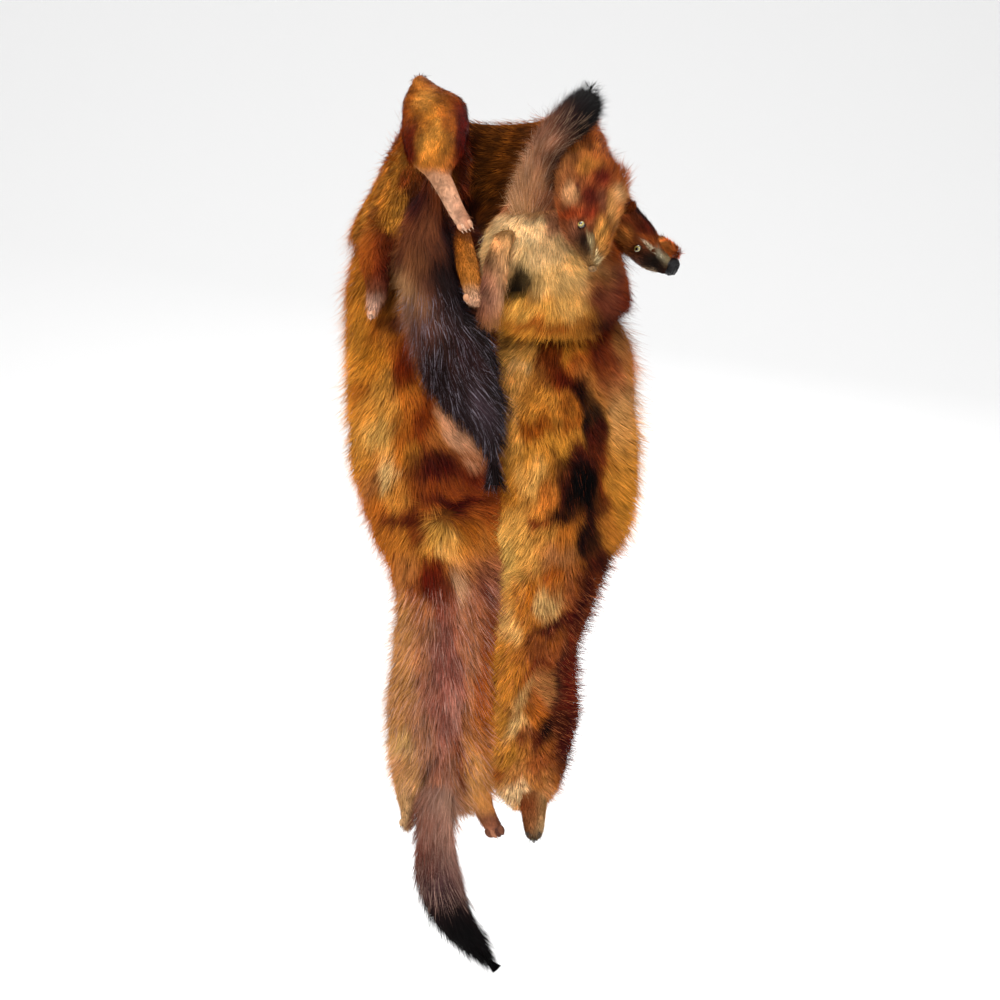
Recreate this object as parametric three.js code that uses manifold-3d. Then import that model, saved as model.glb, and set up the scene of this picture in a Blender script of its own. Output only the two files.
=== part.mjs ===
// Fur scarf of whole dressed skins, worn round the neck, in millimetres.
// The wearer faces -Y and +Z is up. The origin is the nape rest, inside the collar at the back.

import * as THREE from "three";
import Module from "manifold-3d";
import { mergeVertices } from "three/addons/utils/BufferGeometryUtils.js";

const wasm = await Module();
wasm.setup();
const { Manifold, Mesh } = wasm;

// Driving sizes
const SEAM = 0.35; // air left between two pieces that lie on each other
const SKIN_PLUMP = 2.35; // fullness of a skin's cross section, 2 is a plain ellipse
const TAIL_PLUMP = 2.0;
const AROUND_SKIN = 24; // points round a skin
const AROUND_TAIL = 14; // points round a tail
const AROUND_LEG = 10; // points round a leg
const EYE_RADIUS = 2.9; // glass eye
const NOSE_RADIUS = 4.6; // nose pad

// Columns of every section table, one row a section, from the head of the path to its end:
// first edge x, y, z, second edge x, y, z, thickness, hollow of the middle towards the wearer.
// On a front skin the edges are the viewer's left and right, on the collar the upper and the lower.

const LEFT_FRONT = [
  [-100, -98, 10, -54, -116, 14, 14, 0],
  [-114, -108, -8, -38, -126, -6, 20, 0],
  [-122, -118, -28, -22, -136, -28, 25, 0],
  [-126.5, -138, -77, -9, -154, -77, 29, 0],
  [-126.5, -160, -127, -7, -174, -127, 32, 0],
  [-124, -177, -176, -5, -190, -176, 33, 0],
  [-122, -185, -216, -4, -197, -216, 34, 0],
  [-111, -189, -256, -3.5, -198, -256, 34, 0],
  [-94, -190, -288, -3.5, -198, -288, 33, 0],
  [-85, -190, -320, -4.5, -197, -320, 31, 0],
  [-87, -189, -360, -7, -195, -360, 30, 0],
  [-90, -188, -400, -8.5, -193, -400, 29, 0],
  [-89, -187, -440, -9, -191, -440, 27, 0],
  [-82, -187, -466, -13, -190, -466, 23, 0],
  [-70, -188, -480, -24, -190, -481, 16, 0],
];

const RIGHT_FRONT = [
  [70, -104, 4, 104, -88, 2, 20, 0],
  [48, -124, -14, 106, -102, -18, 24, 0],
  [26, -140, -40, 102, -120, -44, 27, 0],
  [5, -154, -77, 95, -140, -77, 29, 0],
  [-1, -164, -102, 98, -152, -102, 31, 0],
  [-1.5, -174, -127, 107, -160, -127, 32, 0],
  [-1, -186, -160, 110, -174, -160, 34, 0],
  [0, -195, -192, 112, -183, -192, 35, 0],
  [0, -198, -224, 112, -187, -224, 35, 0],
  [0.5, -199, -256, 105.5, -190, -256, 34, 0],
  [0.5, -198, -288, 90, -190, -288, 33, 0],
  [-1, -197, -320, 80, -190, -320, 31, 0],
  [-4, -195, -352, 67, -189, -352, 30, 0],
  [-6, -193, -384, 63, -188, -384, 29, 0],
  [-6.5, -192, -416, 63, -187, -416, 28, 0],
  [-7, -191, -448, 57, -187, -448, 26, 0],
  [-4, -190, -468, 51, -187, -468, 22, 0],
  [8, -190, -483, 40, -188, -483, 15, 0],
];

const NECK = [
  [-52, -168, -8, -84, -164, -32, 14, 0],
  [-30, -168, 12, -102, -160, -40, 20, 0],
  [-24, -158, 44, -118, -146, -34, 24, 0],
  [-32, -142, 76, -123, -128, -30, 26, 1],
  [-48, -120, 94, -121, -98, -24, 26, 2],
  [-61, -86, 99, -117, -60, -18, 27, 3],
  [-57, -50, 96, -95, -18, -12, 27, 4],
  [-34, -23, 92, -53, 10, -11, 27, 3],
  [0, -14, 90, 0, 20, -10, 27, 2],
  [34, -22, 92, 52, 10, -10, 27, 2],
  [58, -48, 95, 91, -18, -8, 27, 3],
  [66, -84, 95, 108, -58, -5, 27, 4],
  [58, -116, 88, 107, -98, -2, 27, 3],
  [50, -138, 66, 104, -122, 4, 27, 0],
  [53, -152, 42, 101, -138, 10, 25, 0],
  [60, -160, 26, 97, -148, 12, 22, 0],
];

const BREAST_FOLD = [
  [10, -152, 8, 56, -150, 8, 14, 0],
  [0, -160, -7, 74, -150, -6, 22, 0],
  [-12, -168, -23, 88, -154, -22, 27, 0],
  [-15, -178, -46, 99, -162, -44, 31, 0],
  [-13, -186, -70, 103, -170, -66, 32, 0],
  [-3, -190, -88, 98, -176, -84, 26, 0],
  [18, -192, -99, 74, -182, -96, 16, 0],
];

const LEFT_TAIL = [
  [-62, -186, -452, -30, -188, -452, 18, 0],
  [-69, -198, -480, -32, -199, -480, 22, 0],
  [-71, -199, -510, -32, -200, -510, 23, 0],
  [-70, -197, -540, -28, -198, -538, 22, 0],
  [-60, -194, -568, -22, -195, -563, 20, 0],
  [-45, -191, -588, -14, -192, -580, 17, 0],
  [-26, -189, -606, -5, -190, -597, 12, 0],
  [-6, -188, -618, 0, -188, -613, 6, 0],
];

const NECK_TAIL = [
  [-64, -170, 25, -44, -174, 27, 11, 0],
  [-74, -174, -2, -40, -178, 0, 20, 0],
  [-82, -180, -38, -36, -186, -38, 26, 0],
  [-79, -188, -80, -28, -194, -80, 27, 0],
  [-75, -194, -104, -14, -200, -98, 26, 0],
  [-68, -199, -126, -6, -205, -116, 25, 0],
  [-55, -206, -152, -1, -211, -142, 23, 0],
  [-36, -212, -172, 1.5, -216, -166, 20, 0],
  [-18, -216, -194, 2, -218, -191, 15, 0],
  [-8, -216, -228, 0, -217, -228, 8, 0],
];

const COLLAR_TAIL = [
  [8, -166, -22, 42, -160, -10, 14, 0],
  [11, -168, 2, 38, -166, 12, 19, 0],
  [19, -168, 28, 47, -168, 38, 22, 0],
  [31, -164, 56, 62, -164, 54, 22, 0],
  [46, -150, 79, 74, -150, 66, 20, 0],
  [60, -130, 95, 80, -132, 80, 15, 0],
  [72, -116, 105, 79, -118, 99, 8, 0],
];

const NECK_LEG_INNER = [
  [-73, -102, 105, -63, -108, 113, 10, 0],
  [-79, -110, 91, -47, -124, 99, 17, 0],
  [-80, -128, 75, -29, -150, 84, 21, 0],
  [-79, -148, 57, -26, -171, 62, 23, 0],
  [-76, -164, 42, -28, -184, 46, 22, 0],
  [-71, -174, 31, -35, -188, 33, 17, 0],
  [-60, -181, 20, -40, -191, 24, 12, 0],
  [-51, -187, 6, -35, -194, 11, 11, 0],
  [-43, -192, -9, -29, -197, -4, 10, 0],
  [-34, -195, -24, -21, -198, -19, 8, 0],
];

const NECK_LEG_OUTER = [
  [-108, -150, -22, -86, -158, -22, 14, 0],
  [-110, -162, -46, -90, -170, -46, 14, 0],
  [-106, -174, -70, -93, -178, -70, 11, 0],
  [-107, -181, -92, -99, -183, -91, 7, 0],
];

const LEFT_FORE_LEG = [
  [-42, -168, -24, -24, -172, -22, 13, 0],
  [-38, -184, -44, -19, -188, -42, 15, 0],
  [-33, -194, -62, -15, -198, -61, 15, 0],
  [-27, -201, -80, -12, -204, -80, 11, 0],
];

const RIGHT_FORE_LEG = [
  [-5, -184, -30, 12, -188, -26, 10, 0],
  [-10, -194, -50, 6, -198, -47, 12, 0],
  [-13, -201, -72, 2, -203, -70, 12, 0],
  [-14, -204, -92, -3, -205, -92, 8, 0],
];

const LEFT_HIND_LEG_OUTER = [
  [-86, -188, -446, -66, -192, -450, 15, 0],
  [-84, -190, -470, -66, -193, -472, 14, 0],
  [-80, -192, -486, -68, -194, -486, 11, 0],
  [-79, -194, -498, -70, -195, -498, 9, 0],
];

const LEFT_HIND_LEG_INNER = [
  [-28, -188, -448, -10, -192, -446, 15, 0],
  [-26, -191, -470, -8, -194, -468, 16, 0],
  [-20, -193, -490, -4, -196, -486, 13, 0],
  [-11, -195, -506, 3, -197, -502, 10, 0],
];

const RIGHT_HIND_LEG = [
  [14, -188, -458, 38, -188, -458, 17, 0],
  [15, -192, -480, 38, -192, -480, 17, 0],
  [18, -195, -498, 36, -195, -498, 14, 0],
  [20, -197, -507, 34, -197, -507, 10, 0],
];

// Heads: the edges are the two cheeks and the thickness runs from throat to crown.
const HEAD_DOWN = [
  [48, -164, 28, 103, -150, 18, 24, 0],
  [46, -180, 4, 98, -170, -4, 27, 0],
  [50, -198, -22, 91, -190, -26, 26, 0],
  [60, -207, -40, 86, -203, -42, 19, 0],
  [67, -211, -51, 79, -209, -52, 13, 0],
];

const HEAD_SIDE = [
  [90, -126, 2, 92, -88, 8, 34, 0],
  [103, -132, -14, 105, -96, -10, 36, 0],
  [114, -134, -25, 115, -100, -22, 34, 0],
  [124, -133, -37, 125, -105, -35, 29, 0],
  [131, -131, -43, 132, -110, -41, 24, 0],
  [136, -129, -46, 137, -113, -44, 19, 0],
];

// Swells of a skin's front: share of its length, place across it from -1 to 1, height, radius.
const LEFT_SWELLS = [
  [0.2, -0.5, 4, 30],
  [0.36, 0.3, 4, 34],
  [0.5, -0.35, 5, 30],
  [0.6, 0.55, 4, 26],
  [0.8, -0.4, 3, 34],
];
const RIGHT_SWELLS = [
  [0.28, 0.2, 4, 24],
  [0.38, -0.35, 5, 24],
  [0.46, 0.2, 6, 22],
  [0.47, 0.62, -5, 16],
  [0.56, -0.5, 5, 22],
  [0.64, 0.15, 6, 24],
  [0.74, -0.4, 4, 22],
  [0.8, 0.35, 4, 22],
  [0.9, -0.1, 4, 22],
];
const FOLD_SWELLS = [
  [0.4, -0.3, 5, 26],
  [0.62, -0.42, -7, 11],
  [0.7, 0.35, 4, 26],
];

const vec = (x, y, z) => new THREE.Vector3(x, y, z);

// A smooth value of one table column at share u of the path, through every row.
function columnAt(rows, column, u) {
  const at = u * (rows.length - 1);
  const i = Math.min(rows.length - 2, Math.max(0, Math.floor(at)));
  const s = at - i;
  const p1 = rows[i][column];
  const p2 = rows[i + 1][column];
  const p0 = i > 0 ? rows[i - 1][column] : 2 * p1 - p2;
  const p3 = i < rows.length - 2 ? rows[i + 2][column] : 2 * p2 - p1;
  const bend = 2 * p0 - 5 * p1 + 4 * p2 - p3;
  const twist = 3 * p1 - p0 - 3 * p2 + p3;
  return p1 + 0.5 * s * (p2 - p0 + s * (bend + s * twist));
}

// The section at share u: its middle, half its width as a vector, thickness and hollow.
function sectionAt(rows, u) {
  const c = [0, 1, 2, 3, 4, 5, 6, 7].map((column) => columnAt(rows, column, u));
  const first = vec(c[0], c[1], c[2]);
  const second = vec(c[3], c[4], c[5]);
  return {
    middle: first.clone().add(second).multiplyScalar(0.5),
    half: second.clone().sub(first).multiplyScalar(0.5),
    thick: c[6],
    hollow: c[7],
  };
}

// The frame at share u: the section with its path direction and its outer side.
function frameAt(rows, u) {
  const section = sectionAt(rows, u);
  const before = sectionAt(rows, Math.max(0, u - 0.01)).middle;
  const after = sectionAt(rows, Math.min(1, u + 0.01)).middle;
  const along = after.sub(before).normalize();
  const out = along.clone().cross(section.half).normalize();
  return { ...section, along, out };
}

const power = (value, exponent) => Math.sign(value) * Math.abs(value) ** exponent;

// One closed piece along a table: rings of a full ellipse, with a rounded cap at each end.
function skin(rows, { around, steps, plump, swells = [], grow = 0 }) {
  const rings = [];
  const bumps = swells.map(([share, across, height, radius]) => {
    const f = frameAt(rows, share);
    const rise = f.thick / 2 * (1 - Math.abs(across) ** plump) ** (1 / plump);
    const place = f.middle.clone().addScaledVector(f.half, across).addScaledVector(f.out, rise);
    return { place, height, radius };
  });
  const ring = (f, scale, forward) => {
    const points = [];
    const w = f.half.length();
    const across = f.half.clone().normalize();
    for (let k = 0; k < around; k++) {
      const angle = (2 * Math.PI * k) / around;
      const v = power(Math.cos(angle), 2 / plump);
      const h = power(Math.sin(angle), 2 / plump);
      const p = f.middle
        .clone()
        .addScaledVector(across, v * (w + grow) * scale)
        .addScaledVector(f.out, h * (f.thick / 2 + grow) * scale)
        .addScaledVector(f.out, -f.hollow * (1 - (v * scale) ** 2))
        .addScaledVector(f.along, forward);
      const outward = across.clone().multiplyScalar(v / w).addScaledVector(f.out, h / (f.thick / 2));
      outward.normalize();
      for (const b of bumps) {
        const d = p.distanceTo(b.place) / b.radius;
        p.addScaledVector(outward, b.height * Math.exp(-d * d) * (h > -0.2 ? 1 : 0.2));
      }
      points.push(p);
    }
    return points;
  };
  const start = frameAt(rows, 0);
  const end = frameAt(rows, 1);
  const reach = (f) => Math.min(f.thick / 2, f.half.length()) + grow;
  for (const t of [0.3, 0.65]) {
    rings.push(ring(start, Math.sin((t * Math.PI) / 2), -reach(start) * Math.cos((t * Math.PI) / 2)));
  }
  for (let i = 0; i <= steps; i++) rings.push(ring(frameAt(rows, i / steps), 1, 0));
  for (const t of [0.65, 0.3]) {
    rings.push(ring(end, Math.sin((t * Math.PI) / 2), reach(end) * Math.cos((t * Math.PI) / 2)));
  }
  const positions = rings.flat().flatMap((p) => [p.x, p.y, p.z]);
  const pole = (f, forward) => {
    const p = f.middle.clone().addScaledVector(f.out, -f.hollow).addScaledVector(f.along, forward);
    positions.push(p.x, p.y, p.z);
    return positions.length / 3 - 1;
  };
  const first = pole(start, -reach(start));
  const last = pole(end, reach(end));
  const faces = [];
  for (let i = 0; i + 1 < rings.length; i++) {
    for (let k = 0; k < around; k++) {
      const a = i * around + k;
      const b = i * around + ((k + 1) % around);
      faces.push(a, b, a + around, b, b + around, a + around);
    }
  }
  const top = (rings.length - 1) * around;
  for (let k = 0; k < around; k++) {
    const next = (k + 1) % around;
    faces.push(first, next, k);
    faces.push(last, top + k, top + next);
  }
  return solidFrom(positions, faces);
}

// A closed solid from points and faces, turned to face outwards.
function solidFrom(positions, faces) {
  const make = (list) =>
    new Manifold(
      new Mesh({
        numProp: 3,
        vertProperties: new Float32Array(positions),
        triVerts: new Uint32Array(list),
      }),
    );
  const made = make(faces);
  if (made.volume() > 0) return made;
  const turned = [];
  for (let i = 0; i < faces.length; i += 3) turned.push(faces[i], faces[i + 2], faces[i + 1]);
  return make(turned);
}

// The largest body of a solid.
function largest(solid, name) {
  if (solid.isEmpty()) throw new Error(name + " is swallowed by the pieces it lies on");
  return solid.decompose().reduce((a, b) => (a.volume() > b.volume() ? a : b));
}

// A three.js geometry as a solid, for the small round pieces.
function fromGeometry(geometry) {
  geometry.deleteAttribute("normal");
  geometry.deleteAttribute("uv");
  const merged = mergeVertices(geometry, 1e-4);
  return solidFrom(Array.from(merged.attributes.position.array), Array.from(merged.index.array));
}

// A ball stretched across, along and outwards, set on a head at a share of its length and
// an angle round it (90 is the crown), sunk into it and moved on past its end.
function pebble(rows, share, angle, sink, past, radii, segments = 10) {
  const f = frameAt(rows, share);
  const across = f.half.clone().normalize();
  const turn = THREE.MathUtils.degToRad(angle);
  const place = f.middle
    .clone()
    .addScaledVector(f.half, Math.cos(turn))
    .addScaledVector(f.out, (Math.sin(turn) * f.thick) / 2);
  const outward = across.multiplyScalar(Math.cos(turn)).addScaledVector(f.out, Math.sin(turn));
  outward.normalize();
  const side = f.along.clone().cross(outward).normalize();
  place.addScaledVector(outward, -sink).addScaledVector(f.along, past);
  const ball = new THREE.SphereGeometry(1, segments, Math.ceil(segments * 0.7));
  ball.scale(...radii);
  ball.applyMatrix4(new THREE.Matrix4().makeBasis(side, f.along, outward));
  ball.translate(place.x, place.y, place.z);
  return fromGeometry(ball);
}

const SKIN = { around: AROUND_SKIN, plump: SKIN_PLUMP };
const TAIL = { around: AROUND_TAIL, plump: TAIL_PLUMP };
const LEG = { around: AROUND_LEG, plump: TAIL_PLUMP };

// The list of pieces, lowest layer first: name, table, way of making, colour.
const SHAPES = {
  left_front_skin: [LEFT_FRONT, { ...SKIN, steps: 34, swells: LEFT_SWELLS }, 0xa8641f],
  right_front_skin: [RIGHT_FRONT, { ...SKIN, steps: 36, swells: RIGHT_SWELLS }, 0xb5742a],
  neck_skin: [NECK, { ...SKIN, steps: 38 }, 0x9a5520],
  breast_fold: [BREAST_FOLD, { ...SKIN, steps: 16, swells: FOLD_SWELLS }, 0xd8b070],
  left_tail: [LEFT_TAIL, { ...TAIL, steps: 18 }, 0x4b3127],
  neck_tail: [NECK_TAIL, { ...TAIL, steps: 20 }, 0x4a2e22],
  collar_tail: [COLLAR_TAIL, { ...TAIL, steps: 16 }, 0x5a3a28],
  head_down: [HEAD_DOWN, { ...TAIL, steps: 12 }, 0x9a5a2a],
  head_side: [HEAD_SIDE, { ...TAIL, steps: 12 }, 0x7a3a1c],
  neck_leg_inner: [NECK_LEG_INNER, { ...LEG, around: 14, steps: 16 }, 0xb8713a],
  neck_leg_outer: [NECK_LEG_OUTER, { ...LEG, steps: 8 }, 0xb8713a],
  left_fore_leg: [LEFT_FORE_LEG, { ...LEG, steps: 9 }, 0xb36a2c],
  right_fore_leg: [RIGHT_FORE_LEG, { ...LEG, steps: 9 }, 0xa9764a],
  left_hind_leg_outer: [LEFT_HIND_LEG_OUTER, { ...LEG, steps: 8 }, 0xa87848],
  left_hind_leg_inner: [LEFT_HIND_LEG_INNER, { ...LEG, steps: 8 }, 0xa8603c],
  right_hind_leg: [RIGHT_HIND_LEG, { ...LEG, steps: 8 }, 0x8a5a34],
};

const solids = {};
const grown = {};
for (const [name, [rows, way]] of Object.entries(SHAPES)) {
  solids[name] = skin(rows, way);
  grown[name] = skin(rows, { ...way, grow: SEAM });
}

// Small pieces: head, share of its length, angle round it, sunk, past its end, half sizes, colour.
const EYE = [EYE_RADIUS, EYE_RADIUS, EYE_RADIUS];
const EAR = [6.5, 3, 7];
const SMALL = {
  head_down_eye: [HEAD_DOWN, 0.56, 118, 0.6, 0, EYE, 0xa8a03a],
  head_down_nose: [HEAD_DOWN, 1, 90, 6, 6, [NOSE_RADIUS, 3.6, 3.6], 0x15120f],
  head_side_eye: [HEAD_SIDE, 0.47, 201, 0.6, 0, EYE, 0xa8a03a],
  head_side_nose: [HEAD_SIDE, 1, 90, 9, 4.5, [7.5, 6.5, 8.5], 0x15120f],
  head_side_ear: [HEAD_SIDE, 0.12, 140, 0, 0, EAR, 0x6a3018],
};
for (const [name, [rows, share, angle, sink, past, radii, colour]] of Object.entries(SMALL)) {
  SHAPES[name] = [null, null, colour];
  solids[name] = pebble(rows, share, angle, sink, past, radii);
  grown[name] = pebble(rows, share, angle, sink, past, radii.map((r) => r + SEAM));
}

// The side head keeps a ruffled tuft on its crown, above the nose.
const tuft = (grow) => pebble(HEAD_SIDE, 0.8, 84, -2, 0, [7, 10, 7].map((r) => r + grow));
solids.head_side = solids.head_side.add(tuft(0));
grown.head_side = grown.head_side.add(tuft(SEAM));

// What each piece gives way to, so that the two lie on each other and never cross.
const GIVES_WAY = {
  right_front_skin: ["left_front_skin"],
  neck_skin: ["left_front_skin", "right_front_skin"],
  breast_fold: ["right_front_skin", "neck_skin", "left_front_skin"],
  left_tail: ["left_front_skin"],
  neck_tail: ["left_front_skin", "neck_skin", "breast_fold", "right_front_skin"],
  collar_tail: ["neck_skin", "breast_fold", "right_front_skin"],
  head_down: ["neck_skin", "breast_fold", "right_front_skin", "collar_tail"],
  head_side: ["right_front_skin", "neck_skin", "breast_fold", "head_down"],
  neck_leg_inner: ["neck_skin", "neck_tail", "left_front_skin"],
  neck_leg_outer: ["left_front_skin", "neck_skin", "neck_tail"],
  left_fore_leg: [
    "left_front_skin", "neck_tail", "neck_skin", "neck_leg_inner", "breast_fold", "right_front_skin",
  ],
  right_fore_leg: ["breast_fold", "left_fore_leg", "neck_tail", "left_front_skin", "right_front_skin"],
  left_hind_leg_outer: ["left_front_skin", "left_tail"],
  left_hind_leg_inner: ["left_front_skin", "left_tail", "right_front_skin"],
  right_hind_leg: ["right_front_skin", "left_hind_leg_inner"],
};
for (const name of ["head_down_eye", "head_down_nose"]) {
  GIVES_WAY[name] = ["head_down", "breast_fold", "collar_tail", "neck_skin"];
}
for (const name of ["head_side_eye", "head_side_nose", "head_side_ear"]) {
  GIVES_WAY[name] = ["head_side", "neck_skin", "breast_fold"];
}

const scarf = new THREE.Group();
scarf.name = "fur_scarf";
for (const [name, shape] of Object.entries(SHAPES)) {
  let solid = solids[name];
  for (const under of GIVES_WAY[name] || []) solid = solid.subtract(grown[under]);
  const made = largest(solid, name).getMesh();
  const geometry = new THREE.BufferGeometry();
  geometry.setAttribute("position", new THREE.BufferAttribute(made.vertProperties, 3));
  geometry.setIndex(new THREE.BufferAttribute(made.triVerts, 1));
  geometry.computeVertexNormals();
  const material = new THREE.MeshStandardMaterial({ color: shape[2], roughness: 0.9 });
  const mesh = new THREE.Mesh(geometry, material);
  mesh.name = name;
  scarf.add(mesh);
}

export default scarf;
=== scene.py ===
"""Fur scarf of whole dressed skins, worn round the neck: its hides, fur, heads, paws and studio.

Tables are in millimetres, in the frame of the CAD solids: the wearer faces -Y and +Z is up.
"""

import bpy
import numpy as np
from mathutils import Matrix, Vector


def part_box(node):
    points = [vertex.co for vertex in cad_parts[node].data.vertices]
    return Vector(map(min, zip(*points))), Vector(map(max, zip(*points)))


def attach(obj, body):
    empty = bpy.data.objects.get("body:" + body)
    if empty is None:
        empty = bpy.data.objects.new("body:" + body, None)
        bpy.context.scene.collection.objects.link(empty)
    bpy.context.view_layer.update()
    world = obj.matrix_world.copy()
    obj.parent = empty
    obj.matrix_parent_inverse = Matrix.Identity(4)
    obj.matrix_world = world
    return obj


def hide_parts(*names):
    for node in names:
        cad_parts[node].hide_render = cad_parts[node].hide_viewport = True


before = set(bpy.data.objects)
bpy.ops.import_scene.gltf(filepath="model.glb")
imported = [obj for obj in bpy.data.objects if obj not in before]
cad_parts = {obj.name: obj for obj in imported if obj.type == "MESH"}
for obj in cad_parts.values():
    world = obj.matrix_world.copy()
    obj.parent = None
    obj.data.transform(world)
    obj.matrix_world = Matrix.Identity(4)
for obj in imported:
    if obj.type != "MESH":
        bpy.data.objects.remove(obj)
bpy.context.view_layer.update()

MM = 0.001
FUR_GRID = (240, 120)  # places along a skin and round it, from which its hairs are drawn
HIDE_WALL = 1.2  # mm of leather
CLUMP_CELLS = 400  # the table of jittered clump centres repeats past this many
HAIR_LENGTHS = (0.7, 1.1)  # the shortest and the longest hair, times the coat's length
GUARD_RISE = 0.14  # radians that a guard hair stands above the others
# Painted shade and light along each hair: dark at the root for the shade deep in the coat, light
# at the tip.
LOZENGE_PAINTED_SHADES = [0.8, 0.8, 1.12]  # brightness of a short blade at its two sides and tip
RIBBON_TIP_PAINTED_LIGHT = 1.1
# How dark colours deepen on the hairs: times (brightness / knee) ** bend, within two limits.
DEEPEN_KNEE, DEEPEN_BEND, DEEPEN_LIMITS = 0.12, 0.22, (0.5, 1.06)
# The camera: place and the width of the picture at the subject's distance, in metres.
CAMERA_PLACE = (0, -2.2, -0.24)
SUBJECT_DISTANCE, PICTURE_WIDTH, SENSOR = 2.01, 0.8, 36
# The studio in metres: floor height, where the floor begins to turn up, the turn's radius.
FLOOR_HEIGHT, TURN_START, TURN_RADIUS = -0.66, 0.3, 2.6

# Colours of the fur, as seen, red green blue from 0 to 255.
CREAM = (232, 196, 132)
PALE_GOLD = (222, 166, 84)
GOLD = (204, 134, 50)
ORANGE = (186, 104, 36)
RUST = (146, 68, 24)
DARK_RED = (92, 34, 14)
TAUPE = (150, 98, 74)
PLUM = (160, 100, 78)
TAN = (190, 134, 80)

# Section tables: first edge x, y, z, second edge x, y, z, thickness, hollow towards the wearer.
LEFT_FRONT = [
    [-100, -98, 10, -54, -116, 14, 14, 0],
    [-114, -108, -8, -38, -126, -6, 20, 0],
    [-122, -118, -28, -22, -136, -28, 25, 0],
    [-126.5, -138, -77, -9, -154, -77, 29, 0],
    [-126.5, -160, -127, -7, -174, -127, 32, 0],
    [-124, -177, -176, -5, -190, -176, 33, 0],
    [-122, -185, -216, -4, -197, -216, 34, 0],
    [-111, -189, -256, -3.5, -198, -256, 34, 0],
    [-94, -190, -288, -3.5, -198, -288, 33, 0],
    [-85, -190, -320, -4.5, -197, -320, 31, 0],
    [-87, -189, -360, -7, -195, -360, 30, 0],
    [-90, -188, -400, -8.5, -193, -400, 29, 0],
    [-89, -187, -440, -9, -191, -440, 27, 0],
    [-82, -187, -466, -13, -190, -466, 23, 0],
    [-70, -188, -480, -24, -190, -481, 16, 0],
]
RIGHT_FRONT = [
    [70, -104, 4, 104, -88, 2, 20, 0],
    [48, -124, -14, 106, -102, -18, 24, 0],
    [26, -140, -40, 102, -120, -44, 27, 0],
    [5, -154, -77, 95, -140, -77, 29, 0],
    [-1, -164, -102, 98, -152, -102, 31, 0],
    [-1.5, -174, -127, 107, -160, -127, 32, 0],
    [-1, -186, -160, 110, -174, -160, 34, 0],
    [0, -195, -192, 112, -183, -192, 35, 0],
    [0, -198, -224, 112, -187, -224, 35, 0],
    [0.5, -199, -256, 105.5, -190, -256, 34, 0],
    [0.5, -198, -288, 90, -190, -288, 33, 0],
    [-1, -197, -320, 80, -190, -320, 31, 0],
    [-4, -195, -352, 67, -189, -352, 30, 0],
    [-6, -193, -384, 63, -188, -384, 29, 0],
    [-6.5, -192, -416, 63, -187, -416, 28, 0],
    [-7, -191, -448, 57, -187, -448, 26, 0],
    [-4, -190, -468, 51, -187, -468, 22, 0],
    [8, -190, -483, 40, -188, -483, 15, 0],
]
NECK = [
    [-52, -168, -8, -84, -164, -32, 14, 0],
    [-30, -168, 12, -102, -160, -40, 20, 0],
    [-24, -158, 44, -118, -146, -34, 24, 0],
    [-32, -142, 76, -123, -128, -30, 26, 1],
    [-48, -120, 94, -121, -98, -24, 26, 2],
    [-61, -86, 99, -117, -60, -18, 27, 3],
    [-57, -50, 96, -95, -18, -12, 27, 4],
    [-34, -23, 92, -53, 10, -11, 27, 3],
    [0, -14, 90, 0, 20, -10, 27, 2],
    [34, -22, 92, 52, 10, -10, 27, 2],
    [58, -48, 95, 91, -18, -8, 27, 3],
    [66, -84, 95, 108, -58, -5, 27, 4],
    [58, -116, 88, 107, -98, -2, 27, 3],
    [50, -138, 66, 104, -122, 4, 27, 0],
    [53, -152, 42, 101, -138, 10, 25, 0],
    [60, -160, 26, 97, -148, 12, 22, 0],
]
BREAST_FOLD = [
    [10, -152, 8, 56, -150, 8, 14, 0],
    [0, -160, -7, 74, -150, -6, 22, 0],
    [-12, -168, -23, 88, -154, -22, 27, 0],
    [-15, -178, -46, 99, -162, -44, 31, 0],
    [-13, -186, -70, 103, -170, -66, 32, 0],
    [-3, -190, -88, 98, -176, -84, 26, 0],
    [18, -192, -99, 74, -182, -96, 16, 0],
]
LEFT_TAIL = [
    [-62, -186, -452, -30, -188, -452, 18, 0],
    [-69, -198, -480, -32, -199, -480, 22, 0],
    [-71, -199, -510, -32, -200, -510, 23, 0],
    [-70, -197, -540, -28, -198, -538, 22, 0],
    [-60, -194, -568, -22, -195, -563, 20, 0],
    [-45, -191, -588, -14, -192, -580, 17, 0],
    [-26, -189, -606, -5, -190, -597, 12, 0],
    [-6, -188, -618, 0, -188, -613, 6, 0],
]
NECK_TAIL = [
    [-64, -170, 25, -44, -174, 27, 11, 0],
    [-74, -174, -2, -40, -178, 0, 20, 0],
    [-82, -180, -38, -36, -186, -38, 26, 0],
    [-79, -188, -80, -28, -194, -80, 27, 0],
    [-75, -194, -104, -14, -200, -98, 26, 0],
    [-68, -199, -126, -6, -205, -116, 25, 0],
    [-55, -206, -152, -1, -211, -142, 23, 0],
    [-36, -212, -172, 1.5, -216, -166, 20, 0],
    [-18, -216, -194, 2, -218, -191, 15, 0],
    [-8, -216, -228, 0, -217, -228, 8, 0],
]
COLLAR_TAIL = [
    [8, -166, -22, 42, -160, -10, 14, 0],
    [11, -168, 2, 38, -166, 12, 19, 0],
    [19, -168, 28, 47, -168, 38, 22, 0],
    [31, -164, 56, 62, -164, 54, 22, 0],
    [46, -150, 79, 74, -150, 66, 20, 0],
    [60, -130, 95, 80, -132, 80, 15, 0],
    [72, -116, 105, 79, -118, 99, 8, 0],
]
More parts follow.
